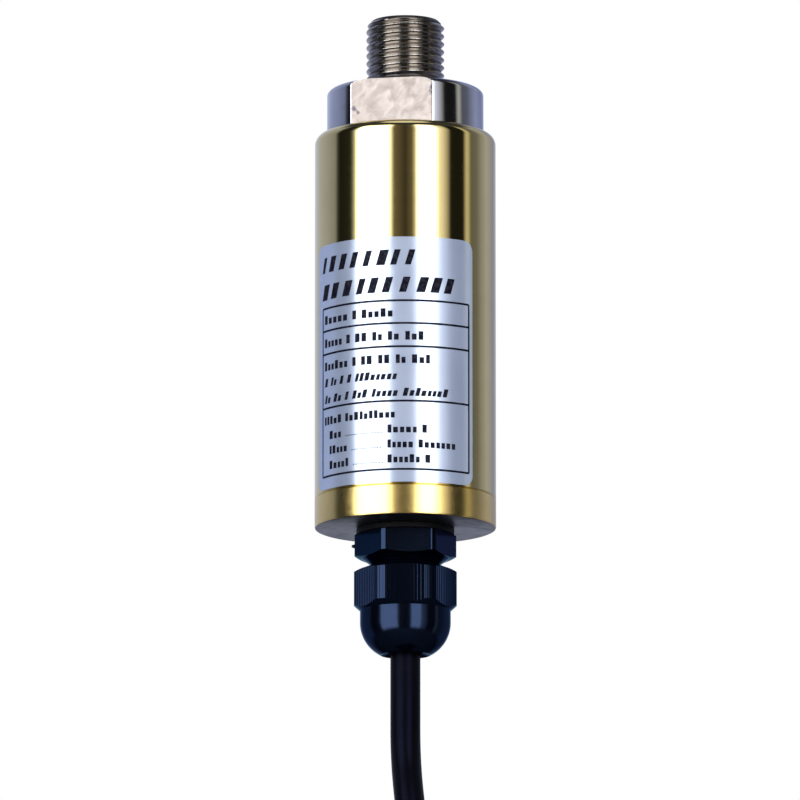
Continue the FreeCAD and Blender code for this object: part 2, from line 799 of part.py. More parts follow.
def makeParts():
    """The amplifier chip, output transistor, diode, resistors and capacitors on the board."""
    lengths = (size.chipLength, size.chipHeight, size.chipWidth)
    pieces = [onFront("chipBlock", lengths, -size.chipOffset, chipDrop)]
    for i in range(legCount):
        x = -size.chipOffset + size.legPitch * (i - (legCount - 1) / 2)
        span = (size.legWidth, size.legThickness, size.chipWidth + 2 * size.legReach)
        pieces.append(onFront(f"chipLead{i}", span, x, chipDrop))
    node(fuse("chip", pieces), "amplifier_chip")
    pieces = [
        onFront(
            "transistorBlock",
            (size.transistorLength, size.chipHeight, size.transistorWidth),
            size.chipOffset,
            chipDrop,
        )
    ]
    for i in (-1, 0, 1):
        x = size.chipOffset + size.transistorPitch * i
        span = (size.legWidth * 2, size.legThickness, size.transistorWidth + 2 * size.legReach)
        pieces.append(onFront(f"transistorLead{i + 1}", span, x, chipDrop))
    node(fuse("transistor", pieces), "output_transistor")
    diodeY = -boardFace - size.diodeRadius - size.ringSlack
    diode = cylinder(
        "diode",
        size.diodeRadius,
        size.diodeLength,
        size.chipOffset - size.diodeLength / 2,
        diodeY,
        boardTop - diodeDrop,
        (0, 1, 0),
        90,
    )
    node(diode, "protection_diode")
    blocks = []
    for row in range(resistorRows):
        for column in range(resistorsInRow):
            x = -size.chipOffset + size.resistorPitch * (column - (resistorsInRow - 1) / 2)
            drop = resistorDrop + size.resistorRowPitch * row
            lengths = (size.resistorLength, size.resistorHeight, size.resistorWidth)
            blocks.append(onFront(f"resistor{row}{column}", lengths, x, drop))
    node(group("resistors", blocks), "chip_resistors")
    base = onBack("canFoot", (size.canBase, size.canBaseHeight, size.canBase), asLength(0), size.canDrop)
    canEnd = boardFace + size.canBaseHeight + size.canHeight
    canZ = boardTop - size.canDrop
    can = cylinder("canBarrel", size.canRadius, size.canHeight, 0, canEnd, canZ, (1, 0, 0), 90)
    node(fuse("can", [base, can]), "electrolytic_capacitor")
    blocks = []
    for i in (-1, 0, 1):
        lengths = (size.ceramicLength, size.ceramicHeight, size.ceramicWidth)
        blocks.append(onBack(f"ceramic{i + 1}", lengths, size.ceramicPitch * i, ceramicDrop))
    node(group("ceramics", blocks), "ceramic_capacitors")


def makeGland():
    """The gland body, its gasket, the clamping insert, the rubber seal and the dome nut."""
    gasket = turned(
        "gasket",
        [
            (size.glandThreadRadius + size.fitGap, capBottom),
            (size.gasketRadius, capBottom),
            (size.gasketRadius, hexTop),
            (size.glandThreadRadius + size.fitGap, hexTop),
        ],
    )
    node(gasket, "gland_gasket")
    stem = turned(
        "glandStem",
        [
            (size.throatRadius, capBottom + size.glandThreadLength),
            (size.glandThreadRadius, capBottom + size.glandThreadLength),
            (size.glandThreadRadius, hexTop),
            (size.stemRadius, hexBottom),
            (size.stemRadius, stemBottom),
            (cupRadius, stemBottom),
            (cupRadius, throatBottom),
            (size.throatRadius, throatBottom),
        ],
    )
    hexBlank = turned(
        "hexBlank",
        [
            (size.throatRadius, hexTop),
            (hexCornerRadius, hexTop),
            (hexCornerRadius, hexBottom + size.hexChamfer),
            (size.hexWidth / 2, hexBottom),
            (size.throatRadius, hexBottom),
        ],
    )
    hexBar = hexBlock("hexBar", size.hexWidth, size.hexHeight, hexBottom, size.hexTurn)
    hexagon = common("hexagon", hexBlank, hexBar)
    nub = doc.addObject("Part::Cone", "nub")
    bind(nub, Radius1=size.nubRadius, Radius2=size.nubRadius / 2, Height=size.nubLength * 2)
    corner = math.radians(size.hexTurn.value - 90)
    nubStart = hexCornerRadius - size.nubLength
    place(nub, nubStart * math.cos(corner), nubStart * math.sin(corner), (hexTop + hexBottom) / 2)
    outward = FreeCAD.Vector(math.cos(corner), math.sin(corner), 0)
    nub.Placement = FreeCAD.Placement(nub.Placement.Base, FreeCAD.Rotation(FreeCAD.Vector(0, 0, 1), outward))
    node(fuse("glandBody", [stem, hexagon, nub]), "gland_body")

    blank = turned(
        "insertBlank",
        [
            (insertBore, insertTop),
            (insertRadius, insertTop),
            (insertRadius, insertShoulder),
            (collarOuter, insertShoulder),
            (collarOuter, fingerTop),
            (fingerTipOuter, fingerTip),
            (size.fingerTipBore, fingerTip),
            (insertBore, fingerTop),
        ],
    )
    slots = []
    for i in range(fingerCount // 2):
        slot = doc.addObject("Part::Box", f"fingerSlot{i}")
        bind(slot, Length=2 * nutBore, Width=size.fingerSlot, Height=size.fingerLength)
        turn = 180 * i / (fingerCount // 2)
        spin = math.radians(turn)
        x = size.fingerSlot / 2 * math.sin(spin) - nutBore * math.cos(spin)
        y = -nutBore * math.sin(spin) - size.fingerSlot / 2 * math.cos(spin)
        slots.append(place(slot, x, y, fingerTip, (0, 0, 1), turn))
    node(cut("insert", blank, slots), "clamp_insert")
    seal = turned(
        "seal",
        [
            (sealBore, insertTop),
            (sealRadius, insertTop),
            (sealRadius, fingerTop),
            (sealBore, fingerTop),
        ],
    )
    node(seal, "gland_seal")

    nutBlank = turned(
        "nutBlank",
        [
            (nutBore, nutTop),
            (size.nutTopRadius, nutTop),
            (size.nutRadius, gripTop),
            (size.nutRadius, gripBottom),
            (size.domeRadius, domeTop),
            (size.domeRadius, roundTop, size.domeRound),
            (size.domeFaceRadius, nutBottom),
            (size.nutMouthRadius, nutBottom),
            (size.nutMouthRadius, coneBottom),
            (nutBore, coneTop),
        ],
    )
    nutBar = hexBlock("nutBar", size.nutWidth, nutTop - nutBottom, nutBottom, size.nutTurn)
    node(common("nut", nutBlank, nutBar), "gland_nut")


def makeCable():
    """The cable: its inner cores, the jacketed lead, the folded hank, the tie and the stripped end."""
    pads = size.coreRadius + boardFace + size.ringSlack
    padTop = boardTop - padDrop
    blobs = []
    for i, name in enumerate(coreNames):
        angle = math.radians(150 + 120 * i)
        x = size.corePadPitch * (i - 1)
        startX = size.coreCircle * math.cos(angle)
        startY = size.coreCircle * math.sin(angle)
        climb = boardBottom - jacketTop
        route = [
            (startX, startY, jacketTop),
            (startX, startY, jacketTop + climb * 0.3),
            (x, -pads - size.coreRadius / 2, boardBottom - 2 * size.coreRadius),
            (x, -pads, padTop),
        ]
        node(bentRod(f"core{name}", vectors(route), size.coreRadius), f"core_{name}")
        blob = doc.addObject("Part::Sphere", f"solder{name}")
        bind(blob, Radius=size.solderRadius)
        place(blob, x, -pads, padTop + size.solderRadius)
        keep = box(
            f"solderKeep{name}",
            (2 * size.solderRadius, 2 * size.solderRadius, size.solderRadius),
            (x - size.solderRadius, -boardFace - 2 * size.solderRadius, padTop),
        )
        blobs.append(common(f"joint{name}", blob, keep))
    node(group("solder", blobs), "solder_joints")

    lead = vectors([(0, 0, jacketTop)] + leadRoute)
    node(bentRod("lead", lead, size.cableRadius), "cable_lead")

    layer = 2 * size.cableRadius
    front = asLength(leadRoute[-1][1]) - size.cableRadius
    topCentre = asLength(hankTop) - hankHalf
    bottomCentre = topCentre - size.hankRun
    loops = []
    for name, half in (("outer", hankHalf), ("inner", size.hankRadius - size.cableRadius)):
        back = front + hankWidth
        upper = cylinder(f"{name}Upper", half, hankWidth, 0, back, topCentre, (1, 0, 0), 90)
        lower = cylinder(f"{name}Lower", half, hankWidth, 0, back, bottomCentre, (1, 0, 0), 90)
        middle = box(f"{name}Middle", (2 * half, hankWidth, size.hankRun), (-half, front, bottomCentre))
        loops.append(fuse(f"{name}Loop", [upper, middle, lower]))
    joinTop = asLength(leadRoute[-1][2])
    entryDepth = layer + size.fitGap
    entry = box("entryClear", (2 * hankHalf, entryDepth, hankTop - joinTop), (-hankHalf, front, joinTop))
    tailFront = front + hankWidth - layer
    tail = box("tailClear", (hankHalf, layer, hankTop - tailEnd), (-hankHalf, tailFront, tailEnd))
    node(cut("hank", loops[0], [loops[1], entry, tail]), "cable_hank")

    tieZ = (topCentre + bottomCentre) / 2 - size.tieHeight / 2
    wall = size.tieThickness
    gap = size.fitGap
    outside = box(
        "tieOutside",
        (2 * (hankHalf + gap + wall), hankWidth + 2 * (gap + wall), size.tieHeight),
        (-hankHalf - gap - wall, front - gap - wall, tieZ),
    )
    inside = box(
        "tieInside",
        (2 * (hankHalf + gap), hankWidth + 2 * gap, size.tieHeight),
        (-hankHalf - gap, front - gap, tieZ),
    )
    node(cut("tie", outside, [inside]), "hank_tie")

    tailX = -size.hankRadius
    tailY = front + hankWidth - size.cableRadius
    for i, name in enumerate(coreNames):
        angle = math.radians(90 + 120 * i)
        x = tailX + size.coreCircle * math.cos(angle)
        y = tailY + size.coreCircle * math.sin(angle)
        spread = 1 + 0.9 * math.sin(angle)
        route = [
            (x, y, tailEnd),
            (x, y, tailEnd + size.strippedLength * 0.45),
            (x + spread, y, tailEnd + size.strippedLength),
        ]
        node(bentRod(f"tail{name}", vectors(route), size.coreRadius), f"end_core_{name}")


def export():
    """Check every object and every sub-part, then write one STEP file for each sub-part."""
    doc.recompute()
    for thing in doc.Objects:
        bad = {"Invalid", "Error"} & set(thing.State)
        if bad:
            raise RuntimeError(f"{thing.Name} is {bad}")
    for thing in nodes:
        if thing.Shape.isNull() or not thing.Shape.isValid() or not thing.Shape.Solids:
            raise RuntimeError(f"{thing.Label} has no valid solid")
    os.makedirs("parts", exist_ok=True)
    for thing in nodes:
        thing.Shape.exportStep(f"parts/{thing.Label}.step")
        print(f"{thing.Label}: {len(thing.Shape.Solids)} solid(s), {thing.Shape.Volume:.2f} mm3")


makePort()
makeCell()
makeHousing()
makeCap()
makeBoard()
makeTrimmer("zero", -size.trimmerOffset)
makeTrimmer("span", size.trimmerOffset)
makeParts()
makeGland()
makeCable()
export()
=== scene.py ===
# A pressure transmitter: steel process thread, brass housing with a foil label, cable gland and cable.
# Sizes are in millimetres until a piece is made, and angles are in degrees round the Z axis.
import math

import bmesh
import bpy
import numpy as np
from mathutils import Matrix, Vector


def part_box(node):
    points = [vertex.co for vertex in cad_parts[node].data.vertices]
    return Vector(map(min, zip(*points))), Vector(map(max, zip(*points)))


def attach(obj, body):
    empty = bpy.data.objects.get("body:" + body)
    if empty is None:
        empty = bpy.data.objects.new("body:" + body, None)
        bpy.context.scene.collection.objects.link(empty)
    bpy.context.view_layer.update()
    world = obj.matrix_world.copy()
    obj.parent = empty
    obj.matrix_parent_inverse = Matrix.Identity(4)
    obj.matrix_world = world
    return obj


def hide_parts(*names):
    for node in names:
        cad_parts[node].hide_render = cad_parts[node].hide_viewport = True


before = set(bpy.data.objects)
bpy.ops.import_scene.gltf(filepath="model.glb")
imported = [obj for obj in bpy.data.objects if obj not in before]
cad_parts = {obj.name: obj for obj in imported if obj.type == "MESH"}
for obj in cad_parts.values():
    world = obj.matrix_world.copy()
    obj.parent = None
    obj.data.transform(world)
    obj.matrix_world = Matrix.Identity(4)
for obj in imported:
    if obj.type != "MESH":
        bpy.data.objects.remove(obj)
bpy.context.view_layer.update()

mm = 0.001
scene = bpy.context.scene
scene.view_settings.view_transform = "Standard"


def span(node):
    # lowest and highest corner of a node at rest, in millimetres
    low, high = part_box(node)
    return np.array(low) / mm, np.array(high) / mm


# shader nodes: most helpers add one node and return its output; a value may be a number or a socket
def plug(tree, socket, value):
    # another node's output is linked to the socket, and a number or colour is set on it
    if isinstance(value, bpy.types.NodeSocket):
        tree.links.new(value, socket)
    else:
        socket.default_value = (*value, 1) if isinstance(value, tuple) else value


def ownPlace(tree):
    return tree.nodes.new("ShaderNodeTexCoord").outputs["Object"]


def addMath(tree, kind, first, second=0.5, clamp=False):
    node = tree.nodes.new("ShaderNodeMath")
    node.operation = kind
    node.use_clamp = clamp
    for socket, value in zip(node.inputs, (first, second)):
        plug(tree, socket, value)
    return node.outputs[0]


def addVector(tree, kind, first, second=(0, 0, 0)):
    # returns the node, because some kinds put out a vector and others a value
    node = tree.nodes.new("ShaderNodeVectorMath")
    node.operation = kind
    tree.links.new(first, node.inputs[0])
    node.inputs[1].default_value = second
    return node


def addRange(tree, source, low, high, toLow=0.0, toHigh=1.0, smooth=False):
    # maps low..high to toLow..toHigh and holds what lies outside at the ends
    node = tree.nodes.new("ShaderNodeMapRange")
    node.interpolation_type = "SMOOTHSTEP" if smooth else "LINEAR"
    for socket, value in zip(node.inputs, (source, low, high, toLow, toHigh)):
        plug(tree, socket, value)
    return node.outputs["Result"]


def mixColour(tree, mask, first, second):
    # the first colour where the mask is 0, the second where it is 1
    node = tree.nodes.new("ShaderNodeMix")
    node.data_type = "RGBA"
    for index, value in ((0, mask), (6, first), (7, second)):
        plug(tree, node.inputs[index], value)
    return node.outputs[2]


def addNoise(tree, scale, detail=2.0, stretch=None, distortion=0.0, vector=None):
    # noise on the piece's own coordinates, which stretch multiplies along each axis
    vector = vector or ownPlace(tree)
    if stretch:
        vector = addVector(tree, "MULTIPLY", vector, stretch).outputs[0]
    noise = tree.nodes.new("ShaderNodeTexNoise")
    tree.links.new(vector, noise.inputs["Vector"])
    for title, value in (("Scale", scale), ("Detail", detail), ("Distortion", distortion)):
        plug(tree, noise.inputs[title], value)
    return noise.outputs["Fac"]


def addBump(tree, height, depth):
    # depth is in millimetres
    node = tree.nodes.new("ShaderNodeBump")
    node.inputs["Distance"].default_value = depth * mm
    tree.links.new(height, node.inputs["Height"])
    return node.outputs[0]


def newGroup(name, inputs, outputs):
    group = bpy.data.node_groups.new(name, "ShaderNodeTree")
    for title, value in inputs.items():
        socket = group.interface.new_socket(name=title, in_out="INPUT", socket_type="NodeSocketFloat")
        socket.default_value = value
    for title in outputs:
        group.interface.new_socket(name=title, in_out="OUTPUT", socket_type="NodeSocketFloat")
    start = group.nodes.new("NodeGroupInput")
    end = group.nodes.new("NodeGroupOutput")
    return group, start.outputs, end.inputs


def useGroup(tree, group, **values):
    node = tree.nodes.new("ShaderNodeGroup")
    node.node_tree = group
    for title, value in values.items():
        node.inputs[title].default_value = value
    return node.outputs


def dress(tree, inputs, colour, rough, height=None, depth=0.0):
    # what nearly every finish varies: colour, roughness and a fine relief
    tree.links.new(colour, inputs["Base Color"])
    tree.links.new(rough, inputs["Roughness"])
    if depth:
        tree.links.new(addBump(tree, height, depth), inputs["Normal"])


def newMaterial(name, **sockets):
    # the sockets' names have _ for a space
    material = bpy.data.materials.new(name)
    material.use_nodes = True
    tree = material.node_tree
    inputs = tree.nodes["Principled BSDF"].inputs
    for title, value in sockets.items():
        plug(tree, inputs[title.replace("_", " ")], value)
    return material, tree, inputs


# camera and light
cameraView = {
    "azimuth": 12.0,
    "elevation": -10.5,
    "distance": 1987.0,
    "lens": 540.0,
    "sensor": 36.0,
    "clip": (0.05, 20.0),
    "aimHeight": -52.3,
    "aimShift": -0.886,
}
# What polished metal mirrors: bright soft boxes with dark gaps between them, by angle from the camera's side.
# The edges are heights on the unit sphere, between which one zone fades into the next.
studio = {
    "softBox": 4.2,
    "bands": [
        (-180, (0.55, 0.60, 0.80)),
        (-165, (0.58, 0.64, 0.86)),
        (-145, (0.47, 0.52, 0.72)),
        (-117, (0.36, 0.40, 0.58)),
        (-102, (0.27, 0.30, 0.41)),
        (-97, (0.05, 0.055, 0.07)),
        (-93, (0.012, 0.012, 0.010)),
        (-75, (0.020, 0.022, 0.020)),
        (-71, (0.20, 0.22, 0.24)),
        (-67, (1.00, 1.05, 1.10)),
        (-64, (4.20, 4.20, 4.20)),
        (-23, (4.20, 4.20, 4.20)),
        (-19, (1.50, 1.50, 1.45)),
        (-15, (0.16, 0.14, 0.11)),
        (0, (0.045, 0.040, 0.032)),
        (9, (0.14, 0.13, 0.10)),
        (13, (0.80, 0.80, 0.75)),
        (17, (4.20, 4.20, 4.20)),
        (38, (4.20, 4.20, 4.20)),
        (43, (1.25, 1.25, 1.30)),
        (49, (0.90, 0.88, 0.88)),
        (56, (0.40, 0.38, 0.35)),
        (60, (0.012, 0.012, 0.010)),
        (80, (0.012, 0.012, 0.010)),
        (85, (0.62, 0.60, 0.50)),
        (88, (0.62, 0.60, 0.50)),
        (93, (0.14, 0.145, 0.15)),
        (105, (0.17, 0.18, 0.23)),
        (113, (0.29, 0.31, 0.40)),
        (127, (0.42, 0.45, 0.62)),
        (151, (0.27, 0.31, 0.50)),
        (180, (0.55, 0.60, 0.80)),
    ],
    "lowEdge": (-0.56, -0.34),
    "lowDark": (0.09, 0.09, 0.10),
    "highEdge": (0.66, 0.80),
    "highDark": (0.045, 0.048, 0.060),
    "overheadEdge": (0.95, 0.98),
    "overhead": (0.85, 0.86, 0.90),
    "fill": (0.090, 0.135, 0.240),
    "keyAzimuth": 10.0,
    "keyElevation": 18.0,
    "keyDistance": 1300.0,
    "keyTarget": -50.0,
    "keySize": 500.0,
    "keyPower": 12.5,
}


def bearing(azimuth, elevation):
    # unit vector towards a place: azimuth from -Y round to +X, elevation up from level
    turn, tilt = math.radians(azimuth), math.radians(elevation)
    return Vector((math.sin(turn) * math.cos(tilt), -math.cos(turn) * math.cos(tilt), math.sin(tilt)))


def lookBack(name, data, target, away, distance):
    # an object at target + distance * away that looks back at the target, which is in metres
    thing = bpy.data.objects.new(name, data)
    scene.collection.objects.link(thing)
    thing.location = target + away * distance * mm
    thing.rotation_euler = (-away).to_track_quat("-Z", "Y").to_euler()
    return thing


def makeCamera(view):
    # stands below the housing, a little to +X, and aims at a point beside the axis
    right = bearing(view["azimuth"] + 90, 0)
    aim = (right * view["aimShift"] + Vector((0, 0, view["aimHeight"]))) * mm
    data = bpy.data.cameras.new("camera")
    data.lens, data.sensor_width = view["lens"], view["sensor"]
    data.clip_start, data.clip_end = view["clip"]
    away = bearing(view["azimuth"], view["elevation"])
    scene.camera = lookBack("camera", data, aim, away, view["distance"])


def makeWorld(plan, azimuth):
    # mirrors see the bands by angle and height, matt surfaces get the fill, and the camera sees white
    world = bpy.data.worlds.new("studio")
    scene.world = world
    world.use_nodes = True
    tree = world.node_tree
    tree.nodes.clear()
    add, link = tree.nodes.new, tree.links.new
    turned = add("ShaderNodeMapping")
    turned.inputs["Rotation"].default_value = (0, 0, -math.radians(azimuth))
    link(add("ShaderNodeTexCoord").outputs["Generated"], turned.inputs["Vector"])
    parts = add("ShaderNodeSeparateXYZ")
    link(turned.outputs[0], parts.inputs[0])
    front = addMath(tree, "MULTIPLY", parts.outputs["Y"], -1.0)
    turn = addMath(tree, "ARCTAN2", parts.outputs["X"], front)
    ramp = add("ShaderNodeValToRGB")
    link(addMath(tree, "ADD", addMath(tree, "MULTIPLY", turn, 0.5 / math.pi), 0.5), ramp.inputs[0])
    stops = ramp.color_ramp.elements
    for angle, colour in plan["bands"][1:-1]:
        stops.new(angle / 360 + 0.5)
    for stop, (angle, colour) in zip(stops, plan["bands"]):
        stop.position = angle / 360 + 0.5
        stop.color = (*[level / plan["softBox"] for level in colour], 1)
    boost = addVector(tree, "SCALE", ramp.outputs[0])
    boost.inputs["Scale"].default_value = plan["softBox"]
    raised = addRange(tree, parts.outputs["Z"], *plan["lowEdge"], smooth=True)
    mirrored = mixColour(tree, raised, plan["lowDark"], boost.outputs[0])
    for edge, zone in (("highEdge", "highDark"), ("overheadEdge", "overhead")):
        raised = addRange(tree, parts.outputs["Z"], *plan[edge], smooth=True)
        mirrored = mixColour(tree, raised, mirrored, plan[zone])
    path = add("ShaderNodeLightPath").outputs
    lit = mixColour(tree, path["Is Glossy Ray"], plan["fill"], mirrored)
    seen = addMath(tree, "MAXIMUM", path["Is Camera Ray"], path["Is Transmission Ray"])
    background = add("ShaderNodeBackground")
    link(mixColour(tree, seen, lit, (1.0, 1.0, 1.0)), background.inputs["Color"])
    link(background.outputs[0], add("ShaderNodeOutputWorld").inputs[0])


def makeKeyLight(plan):
    # a large soft lamp in front, a little to the right and above, which no surface mirrors
    data = bpy.data.lights.new("keyLight", "AREA")
    data.shape = "SQUARE"
    data.size = plan["keySize"] * mm
    data.energy = plan["keyPower"]
    away = bearing(plan["keyAzimuth"], plan["keyElevation"])
    lamp = lookBack("keyLight", data, Vector((0, 0, plan["keyTarget"] * mm)), away, plan["keyDistance"])
    lamp.visible_glossy = False


makeCamera(cameraView)
makeWorld(studio, cameraView["azimuth"])
makeKeyLight(studio)
print("camera and light made")


# shader groups
def makeTurnedLines():
    # fine lines left by turning: noise stretched along the circumference, tight along the axis
    group, start, end = newGroup(
        "turnedLines", {"Lines": 9.0, "Low": 0.05, "High": 0.12}, ["Roughness", "Height"]
    )
    fine = addMath(group, "MULTIPLY", addNoise(group, start["Lines"], 4.0, (14.0, 14.0, 1000.0)), 0.7)
    broad = addMath(group, "MULTIPLY", addNoise(group, 1.0, 2.0, (60.0, 60.0, 380.0)), 0.3)
    both = addMath(group, "ADD", fine, broad)
    group.links.new(addRange(group, both, 0.3, 0.7, start["Low"], start["High"]), end["Roughness"])
    group.links.new(fine, end["Height"])
    return group


def makeHandling():
    # smudges and stains from handling: two sizes of soft noise with a threshold
    group, start, end = newGroup("handling", {"Size": 90.0, "Amount": 0.5}, ["Mask"])
    large = addNoise(group, start["Size"], 3.0, distortion=0.8)
    small = addNoise(group, addMath(group, "MULTIPLY", start["Size"], 6.0), 4.0)
    both = addMath(group, "MULTIPLY", large, addMath(group, "ADD", small, 0.5))
    mask = addRange(group, both, 0.38, 0.72)
    group.links.new(addMath(group, "MULTIPLY", mask, start["Amount"]), end["Mask"])
    return group


def makeFineGrain():
    # the fine matt grain of moulded or cast surfaces
    group, start, end = newGroup(
        "fineGrain", {"Size": 2600.0, "Low": 0.35, "High": 0.5}, ["Roughness", "Height"]
    )
    patches = addNoise(group, addMath(group, "MULTIPLY", start["Size"], 0.06), 2.0)
    group.links.new(addRange(group, patches, 0.3, 0.7, start["Low"], start["High"]), end["Roughness"])
    group.links.new(addNoise(group, start["Size"], 3.0), end["Height"])
    return group


def makeEdgeBand():
    # how near a point lies to one height on the axis, broken up by noise: for worn or dirty edges
    group, start, end = newGroup("edgeBand", {"Level": 0.0, "Width": 0.001}, ["Mask"])
    parts = group.nodes.new("ShaderNodeSeparateXYZ")
    group.links.new(ownPlace(group), parts.inputs[0])
    away = addMath(group, "ABSOLUTE", addMath(group, "SUBTRACT", parts.outputs["Z"], start["Level"]))
    near = addMath(group, "SUBTRACT", 1.0, addMath(group, "DIVIDE", away, start["Width"]), clamp=True)
    broken = addRange(group, addNoise(group, 420.0, 4.0), 0.35, 0.62)
    group.links.new(addMath(group, "MULTIPLY", near, broken), end["Mask"])
    return group


turnedLines = makeTurnedLines()
handling = makeHandling()
fineGrain = makeFineGrain()
edgeBand = makeEdgeBand()


# materials that more than one piece uses
def grooveDirtAndShade(tree, inner, outer, depth):
    # darkening in the grooves, partly oil and dirt and partly painted shade: how far a point lies inside an
    # outer distance from the axis
    away = addVector(tree, "LENGTH", addVector(tree, "MULTIPLY", ownPlace(tree), (1, 1, 0)).outputs[0])
    away = away.outputs["Value"]
    inside = addMath(tree, "SUBTRACT", outer, away)
    deep = addMath(tree, "DIVIDE", inside, depth, clamp=True)
    deep = addMath(tree, "MULTIPLY", deep, addMath(tree, "GREATER_THAN", away, inner))
    broken = addRange(tree, addNoise(tree, 700.0, 3.0), 0.2, 0.5, 0.7, 1.0)
    return addMath(tree, "MULTIPLY", deep, broken)


def turnedMetal(name, look):
    # polished turned metal: tool lines, handling marks that dull and darken it, worn edges
    material, tree, inputs = newMaterial(name, Metallic=1.0)
    lines = useGroup(tree, turnedLines, Lines=look["lines"], Low=look["rough"][0], High=look["rough"][1])
    marks = useGroup(tree, handling, Size=look["markSize"], Amount=look["marks"])["Mask"]
    colour = mixColour(tree, marks, look["colour"], look["dull"])
    for level, width in look["edges"]:
        band = useGroup(tree, edgeBand, Level=level * mm, Width=width * mm)["Mask"]
        colour = mixColour(tree, band, colour, look["worn"])
    rough = addMath(tree, "ADD", lines["Roughness"], addMath(tree, "MULTIPLY", marks, look["markRough"]))
    if "groove" in look:
        # painted shade, partly oil and dirt, darkens the thread's roots
        dirtAndShade = grooveDirtAndShade(tree, *[size * mm for size in look["groove"]])
        colour = mixColour(tree, dirtAndShade, colour, look["dirtAndShade"])
        rough = addMath(tree, "ADD", rough, addMath(tree, "MULTIPLY", dirtAndShade, look["dirtRough"]))
    dress(tree, inputs, colour, rough, lines["Height"], look["depth"])
    return material


def grainedFinish(tree, inputs, look):
    # fine grain and rubbed patches, which the plastics and the drawn metals share
    grain = useGroup(tree, fineGrain, Size=look["grain"], Low=look["rough"][0], High=look["rough"][1])
    marks = useGroup(tree, handling, Size=look.get("markSize", 160.0), Amount=look["marks"])["Mask"]
    colour = mixColour(tree, marks, look["colour"], look["rubbed"])
    dress(tree, inputs, colour, grain["Roughness"], grain["Height"], look["depth"])


def mouldedPlastic(name, look):
    # moulded plastic or rubber; sheer mirrors less at its edges than a clear skin would
    tint = look.get("tint", (1.0, 1.0, 1.0))
    sockets = {"IOR": look.get("ior", 1.5), "Metallic": look.get("sheer", 0.0), "Specular_Tint": tint}
    material, tree, inputs = newMaterial(name, **sockets)
    grainedFinish(tree, inputs, look)
    return material


def drawnMetal(name, look):
    # drawn, pressed or plated metal
    material, tree, inputs = newMaterial(name, Metallic=1.0)
    grainedFinish(tree, inputs, look)
    return material


# pieces
def gridFaces(rows, columns, closeRows, closeColumns):
    # four-sided faces between neighbouring rows and columns of a grid
    row = np.arange(rows if closeRows else rows - 1)[:, None]
    column = np.arange(columns if closeColumns else columns - 1)[None, :]
    nextRow, nextColumn = (row + 1) % rows, (column + 1) % columns
    corners = (
        row * columns + column,
        row * columns + nextColumn,
        nextRow * columns + nextColumn,
        nextRow * columns + column,
    )
    return np.stack(corners, -1).reshape(-1, 4)


def makePiece(name, grids, finishes, replaced=(), body="root", sharp=30.0, choose=None, solid=True):
    # grids: (points[rows, columns, 3], closed along rows, closed along columns). choose gives each face's
    # finish from its middle and normal. A piece that isn't solid is an open sheet with a sharp rim.
    verts, faces, count = [], [], 0
    for points, closeRows, closeColumns in grids:
        rows, columns = points.shape[:2]
        faces.append(gridFaces(rows, columns, closeRows, closeColumns) + count)
        verts.append(points.reshape(-1, 3) * mm)
        count += rows * columns
    mesh = bpy.data.meshes.new(name)
    mesh.from_pydata(np.concatenate(verts).tolist(), [], np.concatenate(faces).tolist())
    shape = bmesh.new()
    shape.from_mesh(mesh)
    bmesh.ops.remove_doubles(shape, verts=shape.verts, dist=2e-7)
    if solid:
        bmesh.ops.recalc_face_normals(shape, faces=shape.faces)
    else:
        for edge in shape.edges:
            edge.smooth = not edge.is_boundary
    shape.to_mesh(mesh)
    shape.free()
    mesh.shade_smooth()
    if solid:
        mesh.set_sharp_from_angle(angle=math.radians(sharp))
    for finish in finishes:
        mesh.materials.append(finish)
    if choose:
        total = len(mesh.polygons)
        centres, normals = np.empty(total * 3), np.empty(total * 3)
        mesh.polygons.foreach_get("center", centres)
        mesh.polygons.foreach_get("normal", normals)
        picked = choose(centres.reshape(-1, 3) / mm, normals.reshape(-1, 3))
        mesh.polygons.foreach_set("material_index", picked.astype(np.int32))
    piece = bpy.data.objects.new(name, mesh)
    scene.collection.objects.link(piece)
    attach(piece, body)
    if replaced:
        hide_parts(*replaced)
    print(f"{name}: {len(mesh.polygons)} faces")
    return piece


def ringAngles(count, extra=()):
    # evenly spaced angles, with the extra ones put in and their near neighbours left out
    even = np.arange(count) * 360.0 / count
    extra = np.mod(np.array(extra, float), 360.0)
    if len(extra):
        gaps = np.abs((even[:, None] - extra[None, :] + 180) % 360 - 180).min(axis=1)
        even = even[gaps > 90.0 / count]
    return np.radians(np.sort(np.concatenate([even, extra])))


def arcThrough(start, end, radius, count):
    # count points on the circle of that radius through both ends, with its centre right of the way there
    start, end = np.array(start, float), np.array(end, float)
    chord = end - start
    length = np.hypot(*chord)
    right = np.array([chord[1], -chord[0]]) / length
    centre = (start + end) / 2 + right * math.sqrt(max(radius**2 - length**2 / 4, 0.0))
    first, last = start - centre, end - centre
    begin = math.atan2(first[1], first[0])
    sweep = (math.atan2(last[1], last[0]) - begin + math.pi) % (2 * math.pi) - math.pi
    angles = begin + sweep * np.linspace(0, 1, count)
    return [(centre[0] + radius * math.cos(a), centre[1] + radius * math.sin(a)) for a in angles]


def ringRows(profile, angles, prism=None):
    # one ring for each profile point (radius, height); a prism given as a radius for each angle trims it,
    # and each sloping stretch gets one more ring where the slope and the prism meet
    radii, heights = [], []
    for (radius, height), end in zip(profile, profile[1:] + [None]):
        ring = np.full(len(angles), float(radius))
        radii.append(ring if prism is None else np.minimum(ring, prism))
        heights.append(np.full(len(angles), float(height)))
        if prism is None or end is None or abs(end[0] - radius) < 1e-6:
            continue
        if max(end[0], radius) <= prism.min():
            continue
        share = np.clip((prism - radius) / (end[0] - radius), 0, 1)
        radii.append(np.minimum(radius + (end[0] - radius) * share, prism))
        heights.append(height + (end[1] - height) * share)
    return np.array(radii), np.array(heights)


